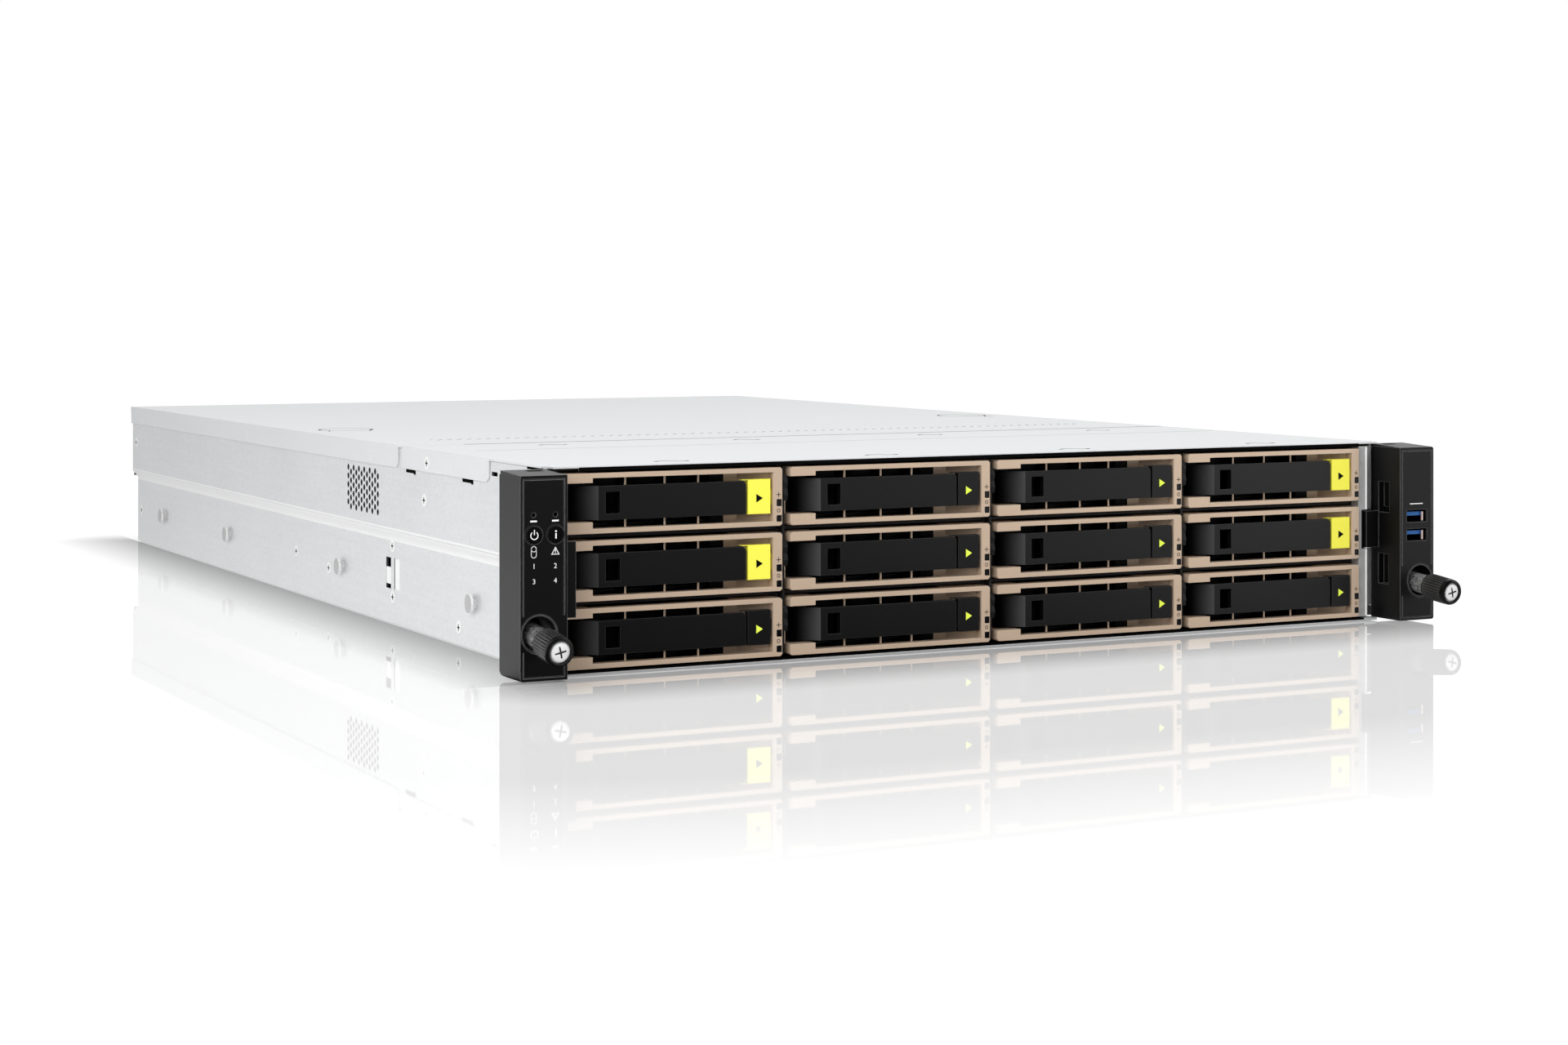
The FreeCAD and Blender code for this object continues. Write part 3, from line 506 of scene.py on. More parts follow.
def dark_mesh(name, build, material="deep_shadow"):
    """Cutter that leaves a shaded cut."""
    mesh = built_mesh(name, build)
    mesh.materials.append(material_named(material))
    return mesh


def add_piece(name, mesh, material, body):
    """Piece with a finished mesh, riding on a body."""
    piece = bpy.data.objects.new(name, mesh)
    bpy.context.scene.collection.objects.link(piece)
    if material:
        mesh.materials.clear()
        mesh.materials.append(material_named(material))
    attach(piece, body)
    return piece


def mesh_piece(name, build, material, body):
    """Piece whose mesh is made by `build(bm)`."""
    return add_piece(name, built_mesh(name, build), material, body)


def add_painted(name, mesh, material, body):
    """Piece with one finish, except where a cut has left it shaded."""
    piece = add_piece(name, mesh, None, body)
    for index, found in enumerate(list(mesh.materials)):
        if found is None or not found.name.endswith("_shadow"):
            mesh.materials[index] = material_named(material)
    if not mesh.materials:
        mesh.materials.append(material_named(material))
    return piece


def span(side, inner, outer):
    """Low and high place across, for a span on the left (-1) or right (1) of the middle."""
    return sorted((side * inner, side * outer))


def add_vert(bm, x, y, z):
    """Vertex at a place."""
    return bm.verts.new((x * MM, y * MM, z * MM))


def add_block(bm, low, high):
    """Closed box between two corners."""
    for vert in bmesh.ops.create_cube(bm, size=1.0)["verts"]:
        vert.co = Vector([(low[i] if vert.co[i] < 0 else high[i]) * MM for i in range(3)])


def join_loops(bm, loops, whole=False):
    """Skin over a row of loops of vertices, closed by its end faces or, if whole, on itself."""
    for first, second in zip(loops, loops[1:] + loops[:1] if whole else loops[1:]):
        for i in range(len(first)):
            j = (i + 1) % len(first)
            bm.faces.new((first[i], first[j], second[j], second[i]))
    if not whole:
        bm.faces.new(loops[0][::-1])
        bm.faces.new(loops[-1])


def add_profile(bm, outline, low, high):
    """Closed shape from a (y, z) outline, between two places across the part."""
    join_loops(bm, [[add_vert(bm, x, y, z) for y, z in outline] for x in (high, low)])


def add_plate(bm, outline, front, back):
    """Closed plate from (x, z) points, standing between two depths along Y."""
    if sum(a[0] * b[1] - b[0] * a[1] for a, b in zip(outline, outline[1:] + outline[:1])) > 0:
        outline = outline[::-1]
    join_loops(bm, [[add_vert(bm, x, y, z) for x, z in outline] for y in (front, back)])


def add_bar(bm, left, low, right, high, face):
    """Printed rectangle on an upright face."""
    add_plate(bm, [(left, low), (right, low), (right, high), (left, high)], face + PRINT_FRONT,
              face + PRINT_BACK)


def add_ring(bm, x, z, inner, outer, front, back, start=0.0, end=360.0, steps=40):
    """Flat ring or open arc that faces the front."""
    whole = end - start >= 360
    loops = []
    for step in range(steps if whole else steps + 1):
        angle = math.radians(start + (end - start) * step / steps)
        dx, dz = math.cos(angle), math.sin(angle)
        loops.append([add_vert(bm, x + r * dx, y, z + r * dz)
                      for r, y in ((outer, front), (inner, front), (inner, back), (outer, back))])
    join_loops(bm, loops, whole)


def add_turned(bm, profile, steps, cut=lambda y, angle: 0.0):
    """Closed shape turned about Y, from (radius, y) pairs less what `cut(y, angle)` takes off."""
    loops = []
    for radius, y in profile:
        loops.append([])
        for step in range(steps):
            angle = math.tau * step / steps
            reach = radius - cut(y, angle)
            loops[-1].append(add_vert(bm, reach * math.cos(angle), y, reach * math.sin(angle)))
    join_loops(bm, loops)


def outward(bm):
    """Turn every face outwards."""
    bmesh.ops.recalc_face_normals(bm, faces=bm.faces)


def merged_copy(node):
    """Copy of a CAD node's mesh with its loose triangles joined."""
    mesh = frame["nodes"][node].data.copy()
    bm = bmesh.new()
    bm.from_mesh(mesh)
    bmesh.ops.remove_doubles(bm, verts=bm.verts, dist=0.002 * MM)
    bm.to_mesh(mesh)
    bm.free()
    return mesh


def evaluated_mesh(item):
    """Plain mesh of an object with its modifiers applied."""
    return bpy.data.meshes.new_from_object(item.evaluated_get(bpy.context.evaluated_depsgraph_get()))


def cut_away(mesh, cutter):
    """Mesh with a closed cutter taken out of it. The cut keeps the cutter's materials."""
    scene = bpy.context.scene.collection.objects
    whole, tool = bpy.data.objects.new("whole", mesh), bpy.data.objects.new("tool", cutter)
    scene.link(whole)
    scene.link(tool)
    modifier = whole.modifiers.new("cut", "BOOLEAN")
    modifier.operation = "DIFFERENCE"
    modifier.solver = "EXACT"
    modifier.material_mode = "TRANSFER"
    modifier.use_self = True
    modifier.object = tool
    result = evaluated_mesh(whole)
    bpy.data.objects.remove(whole)
    bpy.data.objects.remove(tool)
    return result


def smooth(mesh, limit):
    """Smooth shading, with edges over the limit in degrees left sharp."""
    bm = bmesh.new()
    bm.from_mesh(mesh)
    for face in bm.faces:
        face.smooth = True
    for edge in bm.edges:
        if len(edge.link_faces) == 2:
            edge.smooth = edge.calc_face_angle(0.0) < math.radians(limit)
    bm.to_mesh(mesh)
    bm.free()


def grown(name, points, tree, values):
    """Mesh that a Geometry Nodes tree makes from a list of points."""
    mesh = bpy.data.meshes.new(name)
    mesh.from_pydata([Vector(point) * MM for point in points], [], [])
    seed = bpy.data.objects.new(name + "_points", mesh)
    bpy.context.scene.collection.objects.link(seed)
    modifier = seed.modifiers.new("grow", "NODES")
    modifier.node_group = tree
    for item in tree.interface.items_tree:
        if item.item_type == "SOCKET" and item.in_out == "INPUT" and item.name in values:
            modifier[item.identifier] = values[item.name]
    result = evaluated_mesh(seed)
    seed.modifiers.clear()
    bpy.data.objects.remove(seed)
    return result


def start_geometry(name, inputs):
    """Geometry Nodes tree with named inputs: returns the tree, its entry and its exit."""
    tree = bpy.data.node_groups.new(name, "GeometryNodeTree")
    tree.interface.new_socket("Points", in_out="INPUT", socket_type="NodeSocketGeometry")
    for label, default in inputs:
        socket = tree.interface.new_socket(label, in_out="INPUT", socket_type="NodeSocketFloat")
        socket.default_value = default
    tree.interface.new_socket("Geometry", in_out="OUTPUT", socket_type="NodeSocketGeometry")
    return tree, tree.nodes.new("NodeGroupInput"), tree.nodes.new("NodeGroupOutput")


# ---- finishes of the CAD nodes ---------------------------------------------------------------

NODE_FINISHES = {
    "zinc_sheet": ["chassis_base", "power_supply_1", "power_supply_2"],
    "zinc_top": ["front_cover", "rear_cover"],
    "cage_steel": ["drive_cage"],
    "bright_steel": ["usb_ports"],
    "mottled_steel": ["left_screw_sleeve", "right_screw_sleeve"],
    "fin_aluminium": ["heat_sinks"],
    "board_mask": ["drive_backplane", "mainboard"],
    "socket_plastic": ["fan_frames", "fan_rotor_1", "fan_rotor_2", "fan_rotor_3"],
    "black_moulding": ["left_ear", "right_ear"],
    "black_knob": ["power_button", "locator_button", "left_thumbscrew", "right_thumbscrew"],
    "champagne_paint": ["drive_tray_" + place for place in PLACES],
    "black_lever": ["tray_lever_" + place for place in PLACES],
    "black_latch": ["tray_latch_" + place for place in PLACES if place not in YELLOW_PLACES],
    "release_plastic": ["tray_latch_" + place for place in YELLOW_PLACES]
                       + ["supply_latch_1", "supply_latch_2"],
}


def bezel_corner(place):
    """Low left corner of a bezel's front, in millimetres, found from its latch and its lever."""
    latch_left, lever_low, front = 83.1, 5.6, -8.0
    latch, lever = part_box("tray_latch_" + place)[0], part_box("tray_lever_" + place)[0]
    return Vector((latch.x / MM - latch_left, front, lever.z / MM - lever_low))


class SERVER_OT_finishes(bpy.types.Operator):
    """Build the materials and put them on the CAD nodes"""
    bl_idname = "server.finishes"
    bl_label = "Finishes"

    def execute(self, context):
        make_materials()
        for finish_name, nodes in NODE_FINISHES.items():
            for node in nodes:
                wear(node, finish_name)
        for place in PLACES:
            corner = bezel_corner(place)
            self.split("drive_tray_" + place, lambda spot, normal: self.tray_part(spot - corner),
                       "black_moulding", "bright_steel")
        self.split("drive_cage", self.cage_part, "dark_steel", "channel_steel")
        self.split("chassis_base", self.chassis_part, "screw_steel", "inner_steel", "zinc_stud")
        self.split("usb_ports", self.port_part, "black_print", "port_tongue")
        self.split("mainboard", self.board_part, "bright_steel", "socket_plastic")
        for number in (1, 2):
            self.split("power_supply_%d" % number, self.supply_part, "socket_plastic", "bright_steel")
        return {"FINISHED"}

    def split(self, node, choose_slot, *others):
        """Give faces of a node another finish, by where they are in millimetres."""
        slots = frame["nodes"][node].data.materials
        for name in others:
            slots.append(material_named(name))
        for face in frame["nodes"][node].data.polygons:
            face.material_index = choose_slot(face.center / MM, face.normal)

    def tray_part(self, place):
        """The bezel is painted, the carrier behind it is dark, and the drive's case is bare metal."""
        bezel_back, case_front, case_left, case_right = 14.05, 22.1, 0.55, 102.05
        if place.y < bezel_back:
            return 0
        return 2 if place.y > case_front and case_left < place.x < case_right else 1

    def cage_part(self, place, normal):
        """The front edges get a near-black painted shade of the gaps between the trays, except on the channel
        strip by the right ear.
        """
        edges_back, strip_left = 4, 208.6
        if place.y > edges_back:
            return 0
        return 1 if place.x < strip_left else 2

    def chassis_part(self, place, normal):
        """Rail studs get a darker painted shade on their sideways faces and bright screw steel elsewhere, and
        the sheet's inside gets a near-black painted shade.
        """
        bend, skin, rear = 43, 0.3, 713
        stud_low, stud_high, first_stud = 10, 32, 50
        wall = (LOWER_WALL if place.z < bend else UPPER_WALL) + 0.05
        if abs(place.x) > wall and stud_low < place.z < stud_high and place.y > first_stud:
            # Painted shade on the studs' faces that look sideways.
            return 3 if abs(normal.x) > 0.7 else 1
        # Painted shade inside the chassis.
        inside = abs(place.x) < wall - skin and skin < place.y < rear and place.z > skin
        return 2 if inside else 0

    def board_part(self, place, normal):
        """Ports, processors and standoffs are metal, card slots are moulded."""
        ports_front, slots_front, slots_rear, thickness = 692.1, 559.9, 670.1, 1.7
        sockets_middle, sockets_half, sockets_height = 396, 37, 4.1
        on_board = place.z > BOARD_TOP + 0.1
        if place.y > ports_front and on_board or place.z < BOARD_TOP - thickness:
            return 1
        if slots_front < place.y < slots_rear and on_board:
            return 2
        low = place.z < BOARD_TOP + sockets_height
        return 1 if on_board and low and abs(place.y - sockets_middle) < sockets_half else 0

    def supply_part(self, place, normal):
        """The inlet is dark plastic, the insides of the slots get a dark painted shade, and the inlet's pins
        are bare metal.
        """
        lowest, pitch, skin = 2.4, 41.6, 4.9
        inlet_floor, slots_floor, rear, slots_left, slots_right, slots_high = 698, 709, 715.3, 146.7, 182, 36
        level = (place.z - lowest) % pitch      # above the underside of the supply
        if not inlet_floor < place.y < rear or not skin < level < slots_high:
            return 0
        if place.x < slots_right:
            # Painted shade inside the vent slots.
            return 1 if place.x > slots_left and place.y > slots_floor else 0
        on_floor = normal.y > 0.9 and place.y < inlet_floor + 2
        on_pin = 193 < place.x < 206 and 9.3 < level < 18.5 and not on_floor
        in_inlet = 186.9 < place.x < 211.7 and level < 22
        return 2 if on_pin else 1 if in_inlet else 0

    def port_part(self, place, normal):
        """The tongues are blue, and the rest of a port gets a near-black painted shade."""
        tongue_low, tongue_high, tongue_left, tongue_right = 2.95, 4.95, 225.4, 236.2
        level = min((place.z - low for low in PORT_LEVELS), key=abs)
        on_tongue = tongue_low < level < tongue_high and tongue_left < place.x < tongue_right
        return 2 if on_tongue else 1


# ---- thumbscrews -----------------------------------------------------------------------------

class SERVER_OT_thumbscrews(bpy.types.Operator):
    """Fluted knobs with a cross-recessed screw, in place of the plain ones"""
    bl_idname = "server.thumbscrews"
    bl_label = "Thumbscrews"
    cross_turn = math.radians(-14)

    def execute(self, context):
        for joint in frame["joints"]:
            if joint["name"] not in ("left_knob_turn", "right_knob_turn"):
                continue
            side, body = joint["name"].split("_")[0], joint["child"]
            place = Matrix.Translation(joint["pos_m"]) @ Vector((0, 1, 0)).rotation_difference(
                Vector(joint["axis"])).to_matrix().to_4x4()
            knob = built_mesh(side + "_fluted_knob", self.knob)
            knob.transform(place)
            smooth(knob, 50.0)
            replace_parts(add_piece(side + "_fluted_knob", knob, "black_knob", body),
                        side + "_thumbscrew")
            head = cut_away(built_mesh("head", self.head), dark_mesh("cross", self.cross, "grey_shadow"))
            head.transform(place @ Matrix.Rotation(self.cross_turn, 4, "Y"))
            smooth(head, 40.0)
            add_painted(side + "_screw_head", head, "screw_steel", body)
        return {"FINISHED"}

    def knob(self, bm):
        """Turned knob, fluted between its two rims."""
        flutes, depth, per_flute = sizes().flutes, sizes().flute_depth / MM, 6
        flutes_back, flutes_front = -22.7, -34.6
        profile = [(2.3, 5.4), (2.4, 5.2), (2.4, -21.3), (5.7, -21.3), (6.1, -21.6), (6.25, -22.3),
                   (6.35, flutes_back), (6.35, flutes_front), (6.25, -35.0), (6.25, -36.2), (6.0, -36.9),
                   (5.5, -37.5), (5.1, -37.7), (4.75, -37.6), (4.6, -37.3), (4.55, -36.1)]

        def flute(y, angle):
            wave = 0.5 - 0.5 * math.cos(flutes * angle)
            return depth * wave ** 0.7 if flutes_front <= y <= flutes_back else 0.0

        add_turned(bm, profile, flutes * per_flute, flute)
        outward(bm)

    def head(self, bm):
        """Low domed screw head in the knob's recess."""
        add_turned(bm, [(4.5, -36.0), (4.5, -36.4), (4.05, -36.45), (4.05, -36.9), (3.8, -37.15),
                        (3.0, -37.35), (1.8, -37.5)], 48)
        outward(bm)

    def cross(self, bm):
        """Cutter of the cross recess, whose arms narrow towards their ends."""
        arm, half, tip = 2.5, 0.42, 0.42 * 0.8
        quarter = [(half, half), (arm, tip), (arm, -tip)]
        outline = []
        for _ in range(4):
            outline += quarter
            quarter = [(z, -x) for x, z in quarter]
        add_plate(bm, outline, -38.5, -36.7)
        outward(bm)


# ---- drive trays -----------------------------------------------------------------------------

class SERVER_OT_trays(bpy.types.Operator):
    """Lenses and small marks of the bezels, and the arrows of the latches"""
    bl_idname = "server.trays"
    bl_label = "Trays"

    def execute(self, context):
        for place in PLACES:
            corner = bezel_corner(place)
            mesh_piece("bezel_lenses_" + place, lambda bm: self.lenses(bm, corner), "smoked_lens",
                       "tray_" + place)
            mesh_piece("bezel_marks_" + place, lambda bm: self.marks(bm, corner), "brown_print",
                       "tray_" + place)
            arrow = "black_print" if place in YELLOW_PLACES else "triangle_print"
            mesh_piece("latch_arrow_" + place, lambda bm: self.arrow(bm, corner), arrow,
                       "latch_" + place)
        return {"FINISHED"}

    def lenses(self, bm, corner):
        """Two light guides at the right end, with the left corners cut off."""
        left, right, cut = 99.8, 102.3, 0.3
        for low, high in ((8.6, 11.7), (1.8, 4.7)):
            outline = [(corner.x + x, corner.z + z) for x, z in (
                (left, low + cut), (left + cut, low), (right, low), (right, high), (left + cut, high),
                (left, high - cut))]
            add_plate(bm, outline, corner.y - 0.04, corner.y + 0.3)

    def marks(self, bm, corner):
        """Small cross over a ring."""
        x, cross, ring = corner.x + 100.8, corner.z + 13.7, corner.z + 6.7
        for wide, tall in ((1.1, 0.16), (0.16, 1.1)):
            add_bar(bm, x - wide, cross - tall, x + wide, cross + tall, corner.y)
        add_ring(bm, x, ring, 0.55, 0.85, corner.y + PRINT_FRONT, corner.y + PRINT_BACK, steps=16)
        outward(bm)

    def arrow(self, bm, corner):
        """Triangle on the latch that points to the right."""
        front = corner.y + 0.27
        outline = [(corner.x + x, corner.z + z) for x, z in ((90.0, 10.5), (93.2, 12.4), (90.0, 14.3))]
        add_plate(bm, outline, front, front + 0.2)


# ---- grounding springs -----------------------------------------------------------------------

class SERVER_OT_springs(bpy.types.Operator):
    """Grounding springs on the posts between the bays"""
    bl_idname = "server.springs"
    bl_label = "Grounding springs"

    def execute(self, context):
        for number in (1, 2, 3):
            x = -110.2 + (number - 1) * BAY_PITCH
            mesh_piece("grounding_springs_%d" % number, lambda bm: self.springs(bm, x), "dark_steel",
                       "chassis")
        return {"FINISHED"}

    def springs(self, bm, x):
        """Waved strips, one for each row."""
        outline = ((-7.0, -2), (-7.6, 0.6), (-6.9, 3.4), (-7.5, 6.2), (-6.6, 9), (-4.7, 9), (-4.7, -2))
        for row in range(len(ROWS)):
            middle = FIRST_ROW + ROW_PITCH * row
            add_profile(bm, [(y, middle + z) for y, z in outline], x - 1.0, x + 1.0)
        outward(bm)


# ---- ears ------------------------------------------------------------------------------------

class SERVER_OT_ears(bpy.types.Operator):
    """Ears with their panel seams and pinholes, and their printed marks"""
    bl_idname = "server.ears"
    bl_label = "Ears"
    pinholes = {"left": ((-235.4, 69.7), (-225.7, 69.6)), "right": ()}
    digits = {"1": (-235.2, 48.4), "2": (-225.7, 48.3), "3": (-235.2, 42.1), "4": (-225.7, 42.2)}

    def execute(self, context):
        for side, name in SIDES:
            cutter = built_mesh(name + "_ear_seam", lambda bm: self.seam(bm, side, self.pinholes[name]))
            mesh = cut_away(merged_copy(name + "_ear"), cutter)
            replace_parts(add_piece(name + "_ear_shell", mesh, "black_moulding", "chassis"),
                        name + "_ear")
        mesh_piece("ear_marks", self.marks, "white_print", "chassis")
        mesh_piece("power_mark", self.power_mark, "white_print", "power_button")
        mesh_piece("locator_mark", self.locator_mark, "white_print", "locator_button")
        mesh_piece("button_rings", self.rings, "ring_highlight_grey", "chassis")
        mesh_piece("ear_crowns", self.crowns, "black_moulding", "chassis")
        mesh_piece("ear_top_marks", self.top_marks, "deep_shadow", "chassis")
        mesh_piece("corner_gaps", self.corner_gaps, "deep_shadow", "chassis")
        mesh_piece("corner_lips", self.corner_lips, "zinc_top", "chassis")
        mesh_piece("channel_bead", self.bead, "painted_highlight_white", "chassis")
        mesh_piece("channel_foot", self.foot, "cage_steel", "chassis")
        mesh_piece("port_mark", self.port_mark, "white_print", "chassis")
        mesh_piece("port_springs", self.port_springs, "port_spring", "chassis")
        for digit, (x, z) in self.digits.items():
            self.digit(digit, x, z)
        return {"FINISHED"}

    def seam(self, bm, side, pinholes):
        """Grooves round the front panels, broken by the ring at the thumbscrew."""
        half, before, deep = sizes().seam / MM / 2, EAR_FACE - 1, EAR_FACE + 0.45
        outer, inner, low, high = side * 240.0, side * 221.7, 2.5, 84.2
        screw_x, screw_z, screw_low, screw_high = side * 232.9, 20.4, 13.0, 28.0
        for x in (outer, inner):
            for first, last in ((low, screw_low), (screw_high, high)):
                add_block(bm, (x - half, before, first), (x + half, deep, last))
        left, right = sorted((outer, inner))
        for z in (low, high):
            add_block(bm, (left - half, before, z - half), (right + half, deep, z + half))
        add_ring(bm, screw_x, screw_z, 7.95, 8.3, before, deep)
        turns = [math.tau * step / 20 for step in range(20)]
        for x, z in pinholes:
            add_plate(bm, [(x + math.cos(turn), z + math.sin(turn)) for turn in turns], before, EAR_FACE + 3)
        outward(bm)

    def marks(self, bm):
        """Bars under the pinholes, a storage symbol and a warning triangle."""
        front, back = EAR_FACE + PRINT_FRONT, EAR_FACE + PRINT_BACK

        def bar(x0, z0, x1, z1):
            add_bar(bm, x0, z0, x1, z1, EAR_FACE)

        for x, _ in self.pinholes["left"]:
            bar(x - 1.5, 66.7, x + 1.5, 67.4)
        x, z = -235.3, 54.4
        for level, start in ((1.2, 0), (-1.3, 180)):
            add_ring(bm, x, z + level, 1.0, 1.25, front, back, start, steps=20)
        bar(x - 1.25, z - 1.3, x - 1.0, z + 1.2)
        bar(x + 1.0, z - 1.3, x + 1.25, z + 1.2)
        x, z = -225.7, 54.5
        bar(x - 0.2, z - 0.3, x + 0.2, z + 0.8)
        bar(x - 0.2, z - 0.9, x + 0.2, z - 0.55)
        outline = ((x - 1.9, z - 1.5), (x + 1.9, z - 1.5), (x, z + 1.8))
        inside = ((x - 1.3, z - 1.2), (x + 1.3, z - 1.2), (x, z + 1.2))
        for i in range(3):
            j = (i + 1) % 3
            add_plate(bm, [outline[i], outline[j], inside[j], inside[i]], front, back)
        outward(bm)

    def rings(self, bm):
        """Raised rims round the two buttons, painted grey as a painted highlight."""
        for x in (POWER_X, LOCATOR_X):
            add_ring(bm, x, BUTTON_LEVEL, 3.95, 4.2, EAR_FACE - 0.08, EAR_FACE + 0.1)
        outward(bm)

    def crowns(self, bm):
        """Sloping tops of the two ears."""
        profile = ((-22.9, -0.3), (-22.9, 0.0), (-0.5, 1.05), (-0.2, 0.95), (-0.2, -0.3))
        for side, _ in SIDES:
            add_profile(bm, [(y, EAR_TOP + z) for y, z in profile], *span(side, 221.3, 240.9))
        outward(bm)

    def top_marks(self, bm):
        """Shaded dents in the tops of the ears."""
        profile = ((-8, 0.5), (-8, 0.74), (-4, 0.93), (-4, 0.5))
        for side, _ in SIDES:
            add_profile(bm, [(y, EAR_TOP + z) for y, z in profile], *span(side, 224.5, 231.5))
        outward(bm)

    def corner_gaps(self, bm):
        """Shaded openings under the cover at its front corners."""
        for side, _ in SIDES:
            low, high = span(side, 220.9, 222.1)
            add_block(bm, (low, 1.0, 86.1), (high, 17, 87.2))

    def corner_lips(self, bm):
        """Ends of the cover's front edge."""
        for side, _ in SIDES:
            low, high = span(side, 204.6, 221.4)
            add_block(bm, (low, -0.4, 86.75), (high, 0.4, 87.95))

    def bead(self, bm):
        """Rounded fold of the channel strip, broken where the ear's hook passes, painted near-white as a
        painted highlight.
        """
        turns = [math.tau * step / 16 for step in range(16)]
        outline = [(213.6 + 0.75 * math.cos(turn), -5.75 + 0.6 * math.sin(turn)) for turn in turns]
        for low, high in ((2.4, 35.2), (54.8, 85.6)):
            join_loops(bm, [[add_vert(bm, x, y, z) for x, y in outline] for z in (high, low)])
        outward(bm)

    def foot(self, bm):
        """Folded corner of the base at the foot of the channel strip."""
        add_block(bm, (214.7, -2.3, 1.9), (219.9, -0.2, 6.7))

    def port_mark(self, bm):
        """Bar over the upper port."""
        add_bar(bm, 226.5, 57.9, 234.5, 58.4, EAR_FACE)

    def port_springs(self, bm):
        """Contact springs at the right end of each port."""
        for low in PORT_LEVELS:
            add_block(bm, (234.6, -22.6, low + 0.5), (235.4, -21.8, low + 4.9))

    def power_mark(self, bm):
        """Open ring with a bar through its gap."""
        face, x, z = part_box("power_button")[0].y / MM, POWER_X, BUTTON_LEVEL
        add_ring(bm, x, z - 0.1, 1.4, 1.8, face + PRINT_FRONT, face + PRINT_BACK, 128, 412)
        add_bar(bm, x - 0.2, z + 0.1, x + 0.2, z + 2.3, face)
        outward(bm)

    def locator_mark(self, bm):
        """Stroke with a dot over it."""
        face, x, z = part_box("locator_button")[0].y / MM, LOCATOR_X, BUTTON_LEVEL
        for first, last, half in ((-1.7, 0.6, 0.32), (1.05, 1.75, 0.36)):
            add_bar(bm, x - half, z + first, x + half, z + last, face)
        outward(bm)

    def digit(self, text, x, z):
        """Printed number on the left ear, centred on (x, z)."""
        curve = bpy.data.curves.new("digit_" + text, "FONT")
        curve.body = text
        curve.size = 3.0 * MM
        curve.extrude = 0.03 * MM
        curve.align_x = "CENTER"
        curve.align_y = "CENTER"
        holder = bpy.data.objects.new("digit_holder", curve)
        bpy.context.scene.collection.objects.link(holder)
        mesh = evaluated_mesh(holder)
        bpy.data.objects.remove(holder)
        upright = Matrix.Rotation(math.radians(90), 4, "X")
        mesh.transform(Matrix.Translation(Vector((x, EAR_FACE, z)) * MM) @ upright)
        add_piece("digit_" + text, mesh, "white_print", "chassis")


# ---- small fasteners -------------------------------------------------------------------------

